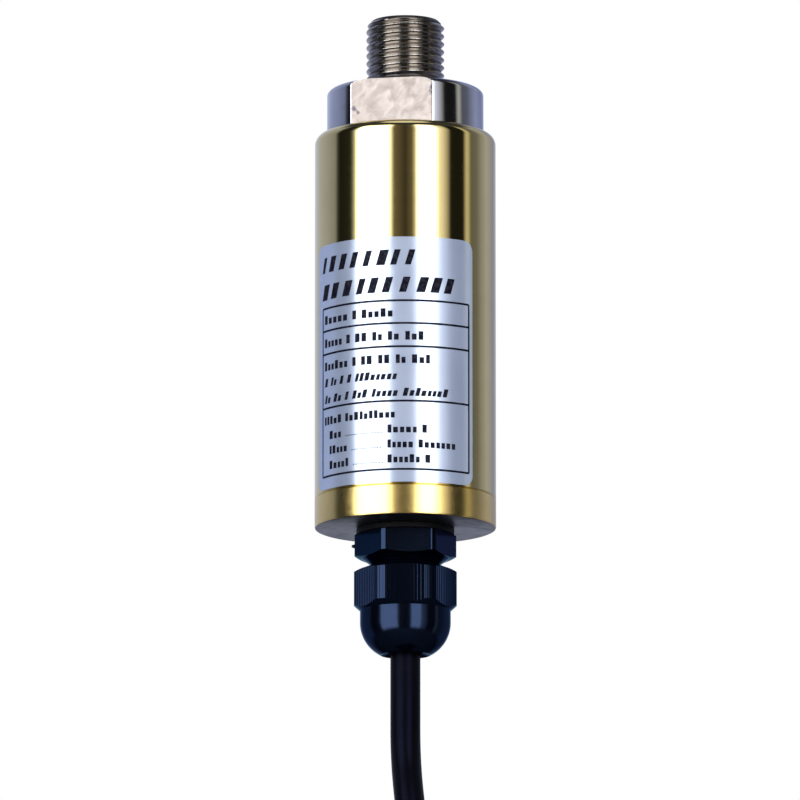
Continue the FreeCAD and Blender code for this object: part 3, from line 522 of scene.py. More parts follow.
def turnPoints(radii, heights, angles):
    # x = radius cos angle, y = radius sin angle, z = height
    return np.stack([radii * np.cos(angles), radii * np.sin(angles), heights], -1)


def turnedGrid(profile, angles, prism=None):
    # a closed profile turned right round the axis
    return turnPoints(*ringRows(profile, angles, prism), angles), True, True


def hexagonRadius(angles, width, facing, limit):
    # distance from the axis to a hexagon's side: half the width over the cosine of the angle off its middle
    off = (np.degrees(angles) - facing + 30.0) % 60.0 - 30.0
    return np.minimum(width / 2 / np.cos(np.radians(off)), limit)


# cable: one smooth line out of the gland, folded into a tied hank below
cable = {
    "radius": 2.5,
    "lead": [
        (0.0, 0.0, -66.0),
        (0.0, 0.0, -103.0),
        (0.0, 0.0, -112.0),  # straight as far as the nut travels
        (1.6, -4.0, -121.0),
        (3.2, -5.3, -130.0),
        (10.8, -5.3, -144.0),
        (15.0, -5.3, -158.0),
        (15.0, -5.3, -172.0),
    ],
    "foldRadius": 15.0,
    "foldPoints": 6,
    "foldEase": 0.012,
    "topCentre": -152.5,
    "bottomCentre": -232.5,
    "firstLayer": -5.3,
    "layers": 4,
    "tailStart": -205.0,
    "tailEnd": -172.0,
    "jacket": {
        "colour": (0.0030, 0.0025, 0.0042),
        "rubbed": (0.0045, 0.0042, 0.0065),
        "grain": 1500.0,
        "rough": (0.30, 0.40),
        "marks": 0.6,
        "depth": 0.006,
        "ior": 1.16,
        "tint": (0.25, 0.38, 1.0),
    },
}


def hankPoints(plan):
    # each layer: down the right run, round the bottom fold, up the left run, round the top fold into the
    # next; a fold's points stand off its circle, so that the line between them touches it
    count, reach = plan["foldPoints"], plan["foldRadius"]
    turns = np.radians(180 / count * (np.arange(count) + 0.5))
    shift = np.clip((np.arange(count) + 0.5) / 4, 0, 1) * 2 * plan["radius"]
    points = []
    for layer in range(plan["layers"]):
        y = plan["firstLayer"] + 2 * plan["radius"] * layer
        wide = reach / math.cos(math.radians(90 / count)) * (1 - plan["foldEase"] * (layer % 2))
        across, up = wide * np.cos(turns), wide * np.sin(turns)
        points += [(x, y, plan["bottomCentre"] - z) for x, z in zip(across, up)]
        if layer == plan["layers"] - 1:
            points += [(-reach, y, plan["tailStart"]), (-reach, y, plan["tailEnd"])]
        else:
            points += [(-x, y + s, plan["topCentre"] + z) for x, z, s in zip(across, up, shift)]
    return points


def makeCable(plan):
    # a round tube along a smooth line that the route's points steer
    curve = bpy.data.curves.new("cable", "CURVE")
    curve.dimensions = "3D"
    route = plan["lead"] + hankPoints(plan)
    line = curve.splines.new("NURBS")
    line.points.add(len(route) - 1)
    line.points.foreach_set("co", np.array([(x * mm, y * mm, z * mm, 1) for x, y, z in route]).ravel())
    line.order_u = 3
    line.use_endpoint_u = True
    curve.resolution_u = 10
    curve.bevel_depth = plan["radius"] * mm
    curve.bevel_resolution = 7
    curve.use_fill_caps = True
    curve.materials.append(mouldedPlastic("cableJacket", plan["jacket"]))
    piece = bpy.data.objects.new("cable", curve)
    scene.collection.objects.link(piece)
    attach(piece, "root")
    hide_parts("cable_lead", "cable_hank")
    return piece


cablePiece = makeCable(cable)
print("cable made")


# tie round the hank
tie = {
    "thickness": 1.2,
    "edge": 0.25,
    "cornerRadius": 2.55,
    "headSize": (7.4, 4.2, 8.0),
    "headOffset": 5.0,
    "headSunk": 0.15,
    "headEdge": 0.9,
    "nylon": {
        "colour": (0.006, 0.006, 0.007),
        "rubbed": (0.012, 0.012, 0.013),
        "grain": 1800.0,
        "rough": (0.30, 0.42),
        "marks": 0.5,
        "depth": 0.01,
    },
}


def roundedLoop(halfX, halfY, corner, perCorner):
    # a rectangle with round corners: each quarter arc's points and the directions that face outwards
    angle = np.radians(np.linspace(0, 90, perCorner))[None, :] + np.radians([0, 90, 180, 270])[:, None]
    signX, signY = np.array([1, -1, -1, 1])[:, None], np.array([1, 1, -1, -1])[:, None]
    x = signX * (halfX - corner) + corner * np.cos(angle)
    y = signY * (halfY - corner) + corner * np.sin(angle)
    return x.ravel(), y.ravel(), np.cos(angle).ravel(), np.sin(angle).ravel()


def roundedBlock(centre, size, edge):
    # a block with rounded edges: rounded outlines in the XZ plane, drawn in towards the front and back
    turns = np.linspace(0, math.pi / 2, 4)
    rising, falling = edge * (1 - np.sin(turns)), edge * (1 - np.cos(turns))
    inset = np.concatenate([[size[0] / 2], rising, falling, [size[0] / 2]])
    depth = np.concatenate([[0], falling, size[1] - rising, [size[1]]])
    rows = []
    for cut, y in zip(inset, depth):
        halfX, halfZ = max(size[0] / 2 - cut, 0.001), max(size[2] / 2 - cut, 0.001)
        x, z, _, _ = roundedLoop(halfX, halfZ, min(edge, halfX, halfZ), 5)
        rows.append(np.stack([x, np.full(len(x), y - size[1] / 2), z], -1))
    return np.array(rows) + np.array(centre)


def makeTie(plan):
    # the strap is a rounded rectangle offset outwards, with its outer edges cut; the head sinks into it
    low, high = span("hank_tie")
    wall, edge = plan["thickness"], plan["edge"]
    halfX, halfY, half = (high - low) / 2 - (wall, wall, 0)
    x, y, outX, outY = roundedLoop(halfX, halfY, plan["cornerRadius"], 8)
    centre = (low + high) / 2
    out = np.array([0, wall - edge, wall, wall, wall - edge, 0])[:, None]
    up = np.array([-half, -half, edge - half, half - edge, half, half])[:, None]
    strap = np.stack([centre[0] + x + outX * out, centre[1] + y + outY * out, centre[2] + 0 * x + up], -1)
    front = low[1] - plan["headSize"][1] / 2 + plan["headSunk"]
    head = roundedBlock((plan["headOffset"], front, centre[2]), plan["headSize"], plan["headEdge"])
    grids = [(strap, True, True), (head, False, True)]
    finish = mouldedPlastic("tieNylon", plan["nylon"])
    return makePiece("hankTie", grids, [finish], ["hank_tie"], sharp=35.0)


tiePiece = makeTie(tie)


# the three cores that stick out of the jacket, with stripped and tinned ends
cores = {
    "radius": 0.6,
    "bareRadius": 0.42,
    "circle": 1.3,
    "start": (-15.0, 9.7, -172.0),
    "length": 28.0,
    "bareLength": 7.0,
    "lean": 0.9,
    "strands": 7,
    "strandDepth": 0.07,
    "twist": 9.0,  # radians from one end to the other
    "leanFrom": 0.3,  # share of the length that stays upright
    "leanPower": 1.6,
    "cutShare": 0.96,  # of the radius, at the insulation's cut end
    "endShare": 0.7,  # of the radius, at the wire's end
    "sleeveRings": 22,
    "bareRings": 16,
    "columns": 28,
    "colours": {
        "red": (0.55, 0.025, 0.02),
        "black": (0.012, 0.012, 0.014),
        "white": (0.78, 0.77, 0.73),
    },
    "sleeve": {"grain": 1500.0, "rough": (0.28, 0.4), "marks": 0.4, "depth": 0.004},
}


def tinnedWire():
    # twisted strands with solder run through them
    material, tree, inputs = newMaterial("tinnedWire", Metallic=1.0)
    twist = addNoise(tree, 1.0, 2.0, (1400.0, 1400.0, 500.0))
    colour = mixColour(tree, twist, (0.62, 0.61, 0.58), (0.80, 0.79, 0.76))
    dress(tree, inputs, colour, addRange(tree, twist, 0.3, 0.7, 0.22, 0.42), twist, 0.02)
    return material


def makeCores(plan):
    # a ring carried up a leaning line: its radius steps in where the insulation ends, and there
    # it is radius * (1 + depth * cos(strands * (angle + twist along the wire)))
    rings, radius, bareRadius = plan["sleeveRings"], plan["radius"], plan["bareRadius"]
    angles = np.radians(np.arange(plan["columns"]) * 360 / plan["columns"])
    strip = 1 - plan["bareLength"] / plan["length"]
    sleeve, wire = np.linspace(0, strip, rings), np.linspace(strip, 1, plan["bareRings"])
    share = np.concatenate([sleeve, [strip, strip], wire, [1, 1]])
    bare = np.arange(len(share)) > rings
    thickness = np.where(bare, bareRadius, radius)
    thickness[rings] = radius * plan["cutShare"]  # the cut end of the insulation
    thickness[-2:] = (bareRadius * plan["endShare"], 0.0)
    waves = np.cos(plan["strands"] * (angles[None, :] + plan["twist"] * share[:, None]))
    ring = thickness[:, None] * (1 + plan["strandDepth"] * waves * bare[:, None])
    ring = np.stack([ring * np.cos(angles), ring * np.sin(angles), 0 * ring], -1)
    startX, startY, startZ = plan["start"]
    heights = startZ + plan["length"] * share
    tinned = tinnedWire()
    made = []
    for order, (title, colour) in enumerate(plan["colours"].items()):
        turn = math.radians(90 + 120 * order)
        x, y = startX + plan["circle"] * math.cos(turn), startY + plan["circle"] * math.sin(turn)
        leaning = np.clip((share - plan["leanFrom"]) / (1 - plan["leanFrom"]), 0, 1) ** plan["leanPower"]
        lean = (1 + plan["lean"] * math.sin(turn)) * leaning
        line = np.stack([x + lean, np.full(len(share), y), heights], -1)
        rubbed = tuple(0.7 * level + 0.02 for level in colour)
        finish = mouldedPlastic(f"core_{title}", {"colour": colour, "rubbed": rubbed, **plan["sleeve"]})
        made.append(
            makePiece(
                f"endCore_{title}",
                [(line[:, None, :] + ring, False, True)],
                [finish, tinned],
                [f"end_core_{title}"],
                sharp=40.0,
                choose=lambda centres, normals: centres[:, 2] > startZ + plan["length"] * strip + 0.01,
            )
        )
    return made


corePieces = makeCores(cores)
print("hank tied and its cores bared")


# process port: inlet, thread, collar with two spanner flats, and the flange inside the housing
port = {
    "pitch": 1.337,
    "threadRadius": 6.5,
    "threadDepth": 0.56,
    "threadRows": 24,  # for each turn
    "rootShare": 0.06,
    "crestShare": 0.05,
    "crestRound": 0.02,
    "phase": 0.34,
    "runOut": 1.3,
    "threadInside": 5.0,  # what lies nearer the axis is the inlet
    "neckRadius": 5.45,
    "neckHeight": 1.0,
    "neckFoot": [(0.0, 0.25), (0.08, 0.07), (0.3, 0.0)],
    "tipRadius": 5.55,
    "inletRadius": 1.75,
    "inletEdge": 0.3,
    "collarRadius": 13.0,
    "collarEdge": (1.5, 1.05),
    "flatDistance": 11.0,
    "grooveFloor": 11.7,
    "grooveTop": 1.0,
    "grooveHeight": 2.0,
    "flangeTop": -11.6,
    "pocketRadius": 9.55,
    "pocketTop": -11.0,
    "columns": 300,
    "steel": {
        "colour": (0.50, 0.515, 0.57),
        "dull": (0.40, 0.41, 0.45),
        "worn": (0.62, 0.62, 0.64),
        "lines": 10.0,
        "rough": (0.07, 0.13),
        "markSize": 110.0,
        "marks": 0.5,
        "markRough": 0.08,
        "depth": 0.0008,
        "edges": [(0.0, 0.25), (-1.0, 0.2)],
    },
    # the thread's steel is a darker, warmer copy of the collar's, which paints shade over the whole thread
    "threadSteelShaded": {
        "colour": (0.360, 0.335, 0.305),
        "dull": (0.270, 0.240, 0.210),
        "worn": (0.40, 0.38, 0.36),
        "lines": 10.0,
        "rough": (0.10, 0.16),
        "markSize": 150.0,
        "marks": 0.7,
        "markRough": 0.08,
        "depth": 0.0006,
        "edges": [(11.7, 0.3)],
        # the groove's darkening is painted shade in the thread roots, partly oil and dirt
        "groove": (5.50, 6.06, 0.12),
        "dirtAndShade": (0.070, 0.062, 0.060),
        "dirtRough": 0.3,
    },
    "flatSlant": 38,
    "nicks": [  # along X, height, size
        (-6.35, -5.0, 0.30),
        (-5.7, -5.7, 0.12),
        (6.7, -1.9, 0.22),
        (6.8, -2.8, 0.30),
        (6.5, -2.35, 0.08),
    ],
}


def threadRows(plan, angles, top):
    # radius = root + depth * V of the phase, where phase = height / pitch - angle / 360 - a start;
    # a cone trims it at the tip and another one runs it out into the neck
    turns = (top - plan["neckHeight"]) / plan["pitch"]
    heights = np.linspace(top, plan["neckHeight"], int(turns * plan["threadRows"]))
    phase = heights[:, None] / plan["pitch"] - angles[None, :] / (2 * math.pi) - plan["phase"]
    ridge = 1 - np.abs(2 * (phase % 1.0) - 1)
    flat = np.clip((ridge - plan["rootShare"]) / (1 - plan["rootShare"] - plan["crestShare"]), 0, 1)
    crown = np.clip((ridge - 1) / plan["crestShare"] + 1, 0, 1)
    flank = 0.7 * flat + 0.3 * flat * flat * (3 - 2 * flat)
    radii = plan["threadRadius"] - plan["threadDepth"] * (1 - flank)
    radii = radii - plan["crestRound"] * (1 - crown) ** 2 * (flat > 0.99)
    tip = plan["tipRadius"] + (top - heights)[:, None]
    neck = plan["neckRadius"] + plan["runOut"] * (heights - plan["neckHeight"])[:, None]
    return np.minimum(np.minimum(radii, tip), neck), np.repeat(heights[:, None], len(angles), axis=1)


def milledSteel(plan):
    # a flat left rough by the cutter: uneven patches, short scores, and a few nicks from a spanner
    material, tree, inputs = newMaterial("milledSteel", Metallic=1.0)
    slanted = tree.nodes.new("ShaderNodeMapping")
    slanted.inputs["Rotation"].default_value = (0, math.radians(plan["flatSlant"]), 0)
    tree.links.new(ownPlace(tree), slanted.inputs["Vector"])
    patches = addNoise(tree, 640.0, 8.0, (0.7, 1.0, 1.0), 0.7, slanted.outputs[0])
    scores = addNoise(tree, 1500.0, 5.0, (0.16, 1.0, 1.0), 0.3, slanted.outputs[0])
    worn = addRange(tree, patches, 0.38, 0.68)
    colour = mixColour(tree, worn, (0.378, 0.340, 0.320), (0.285, 0.245, 0.230))
    colour = mixColour(tree, addRange(tree, scores, 0.54, 0.72, 0.0, 0.35), colour, (0.24, 0.21, 0.20))
    ragged = addMath(tree, "MULTIPLY", addNoise(tree, 2200.0, 3.0), 0.0009)
    for x, z, size in plan["nicks"]:
        middle = (x * mm, -plan["flatDistance"] * mm, z * mm)
        away = addVector(tree, "DISTANCE", ownPlace(tree), middle).outputs["Value"]
        away = addMath(tree, "ADD", away, ragged)
        mask = addRange(tree, away, (size + 0.35) * mm, (size + 0.75) * mm, 1.0, 0.0)
        colour = mixColour(tree, mask, colour, (0.10, 0.09, 0.11))
    relief = addMath(tree, "ADD", patches, addMath(tree, "MULTIPLY", scores, 0.5))
    dress(tree, inputs, colour, addRange(tree, patches, 0.3, 0.7, 0.34, 0.46), relief, 0.03)
    return material


def makePort(plan):
    # one closed profile turned round the axis, with the thread's rows made on their own and two sides cut
    # flat
    low, high = span("process_port")
    top, bottom, flange = high[2], low[2], high[0]
    ledge, lip = span("housing_tube")[1][2], plan["flangeTop"]
    corner = math.degrees(math.acos(plan["flatDistance"] / plan["collarRadius"]))
    edges = [side + way * corner + off for side in (-90, 90) for way in (-1, 1) for off in (-0.3, 0.3)]
    angles = ringAngles(plan["columns"], edges)
    flats = plan["flatDistance"] / np.maximum(np.abs(np.sin(angles)), 0.3)
    collar, (wide, tall) = plan["collarRadius"], plan["collarEdge"]
    bend = np.linspace(0, math.pi / 2, 10)  # the collar's round top edge, as a quarter of an ellipse
    grooveTop = ledge - plan["grooveTop"]
    grooveBottom = grooveTop - plan["grooveHeight"]
    inlet = [
        (plan["inletRadius"], plan["pocketTop"]),
        (plan["inletRadius"], top - plan["inletEdge"]),
        (plan["inletRadius"] + plan["inletEdge"], top),
    ]
    shoulder = [
        *[(plan["neckRadius"] + out, up) for out, up in plan["neckFoot"]],
        *[(collar - wide * (1 - math.sin(a)), -tall * (1 - math.cos(a))) for a in bend],
        (collar, ledge),
    ]
    inside = [
        (collar, ledge),
        (collar, grooveTop),
        (plan["grooveFloor"], grooveTop),
        (plan["grooveFloor"], grooveBottom),
        (collar, grooveBottom),
        (collar, lip),
        (flange, lip),
        (flange, bottom),
        (plan["pocketRadius"], bottom),
        (plan["pocketRadius"], plan["pocketTop"]),
    ]
    stretches = [
        ringRows(inlet, angles),
        threadRows(plan, angles, top),
        ringRows(shoulder, angles, flats),
        ringRows(inside, angles),
    ]
    radii, heights = (np.concatenate(rows) for rows in zip(*stretches))

    def pick(centres, normals):
        # 2 on the thread, 1 on the spanner flats, 0 elsewhere
        x, y, z = centres.T
        flat = (np.abs(normals[:, 1]) > 0.995) & (np.abs(np.abs(y) - plan["flatDistance"]) < 0.02)
        threaded = (z > plan["neckHeight"]) & (np.hypot(x, y) > plan["threadInside"])
        return np.where(threaded & (normals[:, 2] < 0.99), 2, flat & (z > ledge))

    finishes = [
        turnedMetal("portSteel", plan["steel"]),
        milledSteel(plan),
        turnedMetal("threadSteelShaded", plan["threadSteelShaded"]),
    ]
    grid = (turnPoints(radii, heights, angles), True, True)
    return makePiece("processPort", [grid], finishes, ["process_port"], sharp=28.0, choose=pick)


makePort(port)


# housing tube with its rounded top edge and inner lip
housing = {
    "edgeRound": 1.8,
    "boreRadius": 13.8,
    "lipRadius": 13.05,
    "lipHeight": 4.0,
    "seam": 0.15,
    "columns": 320,
    "brass": {
        "colour": (0.80, 0.67, 0.32),
        "dull": (0.70, 0.58, 0.26),
        "worn": (0.62, 0.48, 0.18),
        "lines": 6.0,
        "rough": (0.055, 0.10),
        "markSize": 70.0,
        "marks": 0.35,
        "markRough": 0.06,
        "depth": 0.0015,
        "edges": [(-7.7, 0.35), (-69.0, 0.25)],
    },
}


def makeHousing(plan):
    # a closed profile turned round the axis: a tube with an arc for its top edge and a lip inside it
    low, high = span("housing_tube")
    top, bottom, outer = high[2], low[2], high[0]
    rounded, seam, under = plan["edgeRound"], plan["seam"], top - plan["lipHeight"]
    profile = [
        (plan["lipRadius"], top),
        *arcThrough((outer - rounded, top), (outer, top - rounded), rounded, 14),
        (outer, bottom + seam),
        (outer - seam, bottom),
        (plan["boreRadius"], bottom),
        (plan["boreRadius"], under),
        (plan["lipRadius"], under),
    ]
    grid = turnedGrid(profile, ringAngles(plan["columns"]))
    finish = turnedMetal("housingBrass", plan["brass"])
    return makePiece("housingTube", [grid], [finish], ["housing_tube"], sharp=25.0)


makeHousing(housing)


# end cap: a brushed band, and a bare face below round the gland, darkened with painted shade
endCap = {
    "chamfer": 0.3,
    "seam": 0.15,
    "spigotRadius": 13.75,
    "cupWall": 11.5,
    "holeRadius": 6.25,
    "capInside": -67.0,
    "grooveFloor": 12.45,
    "grooveBottom": 0.3,
    "grooveHeight": 2.0,
    "columns": 320,
    "brass": {
        "colour": (0.88, 0.66, 0.25),
        "dull": (0.72, 0.54, 0.21),
        "worn": (0.64, 0.46, 0.16),
        "lines": 16.0,
        "rough": (0.18, 0.24),
        "markSize": 90.0,
        "marks": 0.35,
        "markRough": 0.06,
        "depth": 0.006,
        "edges": [(-69.0, 0.25), (-73.8, 0.25)],
    },
    # bare metal whose colour and dark patches are lowered to paint the shade under the cap
    "bareFaceShaded": {
        "colour": (0.150, 0.135, 0.105),
        "dull": (0.075, 0.070, 0.070),
        "lines": 4.0,
        "rough": (0.30, 0.40),
        "markSize": 130.0,
        "marks": 0.8,
        "markRough": 0.1,
        "depth": 0.002,
        "edges": [],
    },
}


def makeEndCap(plan):
    # a closed profile turned round the axis: a cup on a grooved spigot, with a hole for the gland
    low, high = span("end_cap")
    bottom, top, outer = low[2], high[2], high[0]
    line = span("housing_tube")[0][2]  # where the housing's end meets the cap
    grooveBottom = line + plan["grooveBottom"]
    grooveTop = grooveBottom + plan["grooveHeight"]
    spigot, floor, seam, cut = plan["spigotRadius"], plan["grooveFloor"], plan["seam"], plan["chamfer"]
    profile = [
        (plan["cupWall"], top),
        (spigot, top),
        (spigot, grooveTop),
        (floor, grooveTop),
        (floor, grooveBottom),
        (spigot, grooveBottom),
        (spigot, line),
        (outer - seam, line),
        (outer, line - seam),
        (outer, bottom + cut),
        (outer - cut * 0.3, bottom + cut * 0.3),
        (outer - cut, bottom),
        (plan["holeRadius"], bottom),
        (plan["holeRadius"], plan["capInside"]),
        (plan["cupWall"], plan["capInside"]),
    ]
    return makePiece(
        "endCap",
        [turnedGrid(profile, ringAngles(plan["columns"]))],
        [turnedMetal("capBrass", plan["brass"]), turnedMetal("bareFaceShaded", plan["bareFaceShaded"])],
        ["end_cap"],
        sharp=25.0,
        choose=lambda centres, normals: (normals[:, 2] < -0.9) & (centres[:, 2] < bottom + 0.05),
    )


makeEndCap(endCap)
print("port, housing and cap made")


# rating label: a foil sheet round the front, with a ruled frame and dummy print
label = {
    "corner": 1.8,
    "thickness": 0.09,
    "columns": 150,
    "rows": 30,
    "inkLift": 0.012,
    "line": 0.34,
    "frame": (-13.7, 14.7, -38.4, -66.6),
    "rules": (-42.2, -46.1, -55.2),
    "printRows": [  # left end, foot of the row, letter height, slant, step, words as letter counts
        (-13.9, -32.4, 2.55, 0.30, 2.43, (8,)),
        (-13.9, -37.0, 2.55, 0.30, 2.52, (10,)),
        (-13.0, -41.1, 1.45, 0.0, 1.07, (5, 1, 5)),
        (-13.0, -45.0, 1.45, 0.0, 1.07, (5, 1, 2, 2, 2, 3)),
        (-13.0, -48.9, 1.45, 0.0, 1.10, (6, 1, 2, 2, 2, 3)),
        (-13.0, -51.6, 1.35, 0.25, 0.95, (1, 2, 1, 1, 8)),
        (-13.0, -54.4, 1.35, 0.25, 0.95, (2, 2, 1, 3, 5, 8)),
        (-13.0, -58.0, 1.35, 0.0, 0.93, (5, 10)),
        (-11.5, -60.5, 1.35, 0.0, 1.15, (3,)),
        (-11.5, -63.0, 1.35, 0.0, 0.95, (5,)),
        (-11.5, -65.5, 1.35, 0.0, 0.95, (5,)),
        (0.2, -60.5, 1.35, 0.0, 1.00, (5, 1)),
        (0.2, -63.0, 1.35, 0.0, 0.95, (5, 7)),
        (0.2, -65.5, 1.35, 0.0, 1.00, (6, 1)),
    ],
    "headingSlant": 0.28,  # rows that lean more than this are the heading
    "headingShares": [0.42, 0.52, 0.62],
    "letterShare": 0.70,
    "steps": [0.86, 0.94, 1.0, 1.06, 1.14],
    "capitals": 0.2,  # share of tall letters inside a word
    "lowShare": 0.7,  # height of the low letters
    "gapShare": 0.7,  # gap between words, in steps
    "seed": 11,
    "dotRows": [(-7.6, -0.6, -60.5), (-6.3, -0.6, -63.0), (-6.0, -0.6, -65.5)],
    "dot": 0.22,
    "dotStep": 0.52,
}


def wrapLabel(along, height, radius):
    # a flat sheet wound round the front: the way along it becomes an angle either side of -Y
    angle = along / radius - math.pi / 2
    return np.stack([radius * np.cos(angle), radius * np.sin(angle), height + 0 * along], -1)


def labelFoil():
    # bluish foil under a clear film, with rolling lines and handling marks
    material, tree, inputs = newMaterial("labelFoil", Metallic=0.4)
    marks = useGroup(tree, handling, Size=60.0, Amount=0.45)["Mask"]
    grain = useGroup(tree, fineGrain, Size=1800.0, Low=0.17, High=0.24)
    rolled = addNoise(tree, 1.0, 3.0, (50.0, 50.0, 2600.0))
    colour = mixColour(tree, marks, (0.67, 0.75, 0.92), (0.58, 0.67, 0.86))
    relief = addMath(tree, "ADD", grain["Height"], rolled)
    dress(tree, inputs, colour, grain["Roughness"], relief, 0.0015)
    return material


def labelInk():
    # matt black ink, a little thin in places
    material, tree, inputs = newMaterial("labelInk", IOR=1.15)
    thin = addNoise(tree, 1500.0, 3.0)
    ink = mixColour(tree, addRange(tree, thin, 0.4, 0.75), (0.004, 0.004, 0.009), (0.030, 0.030, 0.045))
    dress(tree, inputs, ink, addRange(tree, thin, 0.3, 0.7, 0.35, 0.5))
    return material


def makeLabel(plan):
    # a grid along and up the sheet, whose ends are shortened by a quarter circle at each corner
    low, high = span("rating_label")
    outer = -low[1]
    half = outer * math.asin(high[0] / outer)
    corner, bottom, top = plan["corner"], low[2], high[2]
    ease = (1 - np.cos(np.linspace(0, math.pi / 2, 12))) * corner
    middle = np.linspace(corner - half, half - corner, plan["columns"])[1:-1]
    along = np.concatenate([ease - half, middle, half - ease[::-1]])
    inset = np.clip(corner - (half - np.abs(along)), 0, corner)
    trim = corner - np.sqrt(np.maximum(corner**2 - inset**2, 0.0))
    share = np.linspace(0, 1, plan["rows"])[:, None]
    height = (bottom + trim) * (1 - share) + (top - trim) * share
    grid = (wrapLabel(along[None, :] + 0 * height, height, outer), False, False)
    piece = makePiece("ratingLabel", [grid], [labelFoil()], ["rating_label"], solid=False)
    wall = piece.modifiers.new("thickness", "SOLIDIFY")
    wall.thickness = plan["thickness"] * mm
    wall.offset = -1.0
    return outer


def printBlocks(plan):
    # dummy print: each letter is one plain slanted block, and no block has a letter's shape
    chance = np.random.default_rng(plan["seed"])
    blocks = []
    for left, foot, tall, slant, pitch, words in plan["printRows"]:
        at, heading = left, slant > plan["headingSlant"]
        for word in words:
            for letter in range(word):
                step = pitch * chance.choice(plan["steps"])
                capital = heading or letter == 0 or chance.random() < plan["capitals"]
                wide = step * (chance.choice(plan["headingShares"]) if heading else plan["letterShare"])
                height = tall if capital else tall * plan["lowShare"]
                blocks.append((at, at + wide, foot, foot + height, slant))
                at += step
            at += pitch * plan["gapShare"]
    dot = plan["dot"]
    for start, end, foot in plan["dotRows"]:
        blocks += [(at, at + dot, foot, foot + dot, 0.0) for at in np.arange(start, end, plan["dotStep"])]
    return np.array(blocks)


def ruleStrips(plan, radius):
    # the frame and its rules as thin strips: a grid two points wide along each line
    left, right, top, bottom = plan["frame"]
    line = plan["line"]
    grids = []
    for height in (top, *plan["rules"], bottom):
        along = np.linspace(left, right, 70)[None, :].repeat(2, axis=0)
        across = np.array([[height - line / 2], [height + line / 2]]) + 0 * along
        grids.append((wrapLabel(along, across, radius), False, False))
    for side in (left, right):
        along = np.array([[side - line / 2, side + line / 2]]).repeat(2, axis=0)
        across = np.array([[bottom], [top]]) + 0 * along
        grids.append((wrapLabel(along, across, radius), False, False))
    return grids


def makePrint(plan, outer):
    # each block is a small grid: left + share of its width + slant * height, and foot to top
    radius = outer + plan["inkLift"]
    left, right, foot, top, slant = printBlocks(plan).T[:, :, None, None]
    share, up = np.meshgrid(np.linspace(0, 1, 7), [0.0, 1.0])
    along = left + (right - left) * share + slant * (top - foot) * up
    points = wrapLabel(along, foot + (top - foot) * up, radius)
    grids = [(block, False, False) for block in points] + ruleStrips(plan, radius)
    return makePiece("labelPrint", grids, [labelInk()], solid=False)


makePrint(label, makeLabel(label))
print("label made")


# cable gland: gasket, body with its hexagon, ribbed dome nut
gland = {
    "gasketHole": 6.25,
    "gasketEdge": 0.2,
    "gasketColumns": 160,
    "threadRadius": 6.2,
    "threadChamfer": 0.5,
    "hexWidth": 15.0,
    "hexHeight": 4.0,
    "hexCorner": 8.42,
    "hexFacing": -74.0,
    "hexFlat": 27.0,  # from a side's middle to its cut corner
    "hexTopEdge": 0.12,
    "hexEdge": 0.4,
    "bodyColumns": 180,
    "stemRadius": 5.5,
    "stemCone": (1.7, 1.15),
    "cupRadius": 4.4,
    "throatRadius": 3.2,
    "throatBottom": -83.0,
    "nubRadius": 0.35,
    "nubReach": 0.5,
    "nubRoot": 0.4,
    "nutWidth": 15.6,
    "nutRadius": 8.5,
    "nutFacing": -78.0,
    "nutTopRadius": 5.95,
    "nutTopEdge": 0.1,
    "nutTopSlope": 1.1,
    "gripHeight": 5.5,
    "gripSlope": 0.9,
    "domeRadius": 7.5,
    "domeStraight": 1.9,
    "domeRound": 6.0,
    "faceRadius": 4.1,
    "mouthRadius": 3.0,
    "mouthDepth": 1.3,
    "mouthSink": 0.55,
    "boreRadius": 5.58,
    "coneTop": -89.45,
    "ribs": 90,
    "ribColumns": 10,
    "ribWidth": 0.2,  # how far the cosine falls across half a groove
    "ribDepth": 0.045,
    "nylon": {
        "colour": (0.0110, 0.0180, 0.0430),
        "rubbed": (0.0140, 0.0215, 0.0480),
        "grain": 2400.0,
        "rough": (0.08, 0.14),
        "marks": 0.6,
        "depth": 0.003,
        "ior": 1.62,
        "tint": (0.24, 0.42, 0.48),
        "sheer": 0.86,
    },
    "rubber": {
        "colour": (0.004, 0.004, 0.005),
        "rubbed": (0.008, 0.008, 0.010),
        "grain": 1600.0,
        "rough": (0.5, 0.65),
        "marks": 0.5,
        "depth": 0.01,
        "ior": 1.22,
    },
}


def makeGasket(plan, finish):
    # a flat ring, a closed profile turned round the axis, with a quarter arc at each outer edge
    low, high = span("gland_gasket")
    outer, hole, edge = high[0], plan["gasketHole"], plan["gasketEdge"]
    profile = [
        (hole, high[2]),
        *arcThrough((outer - edge, high[2]), (outer, high[2] - edge), edge, 5),
        *arcThrough((outer, low[2] + edge), (outer - edge, low[2]), edge, 5),
        (hole, low[2]),
    ]
    grid = turnedGrid(profile, ringAngles(plan["gasketColumns"]))
    return makePiece("glandGasket", [grid], [finish], ["gland_gasket"])


def nubPoints(plan, middle):
    # the nub left by moulding: a small dome that looks outwards from one corner of the hexagon;
    # reach = root + height * sin bend, and its radius shrinks with cos bend
    facing = math.radians(plan["hexFacing"] - 90)
    out = np.array([math.cos(facing), math.sin(facing), 0])
    side = np.array([-math.sin(facing), math.cos(facing), 0])
    bend = np.linspace(0, math.pi / 2, 6)[:, None]
    ring = np.radians(np.arange(16) * 22.5)[None, :]
    root, height = plan["hexCorner"] - plan["nubRoot"], plan["nubReach"] + plan["nubRoot"]
    reach = root + height * np.sin(bend) + 0 * ring
    spread = plan["nubRadius"] * np.cos(bend) ** 0.6 + 0 * ring
    across, up = spread * np.cos(ring), spread * np.sin(ring) + middle
    return out * reach[..., None] + side * across[..., None] + np.array([0, 0, 1]) * up[..., None]


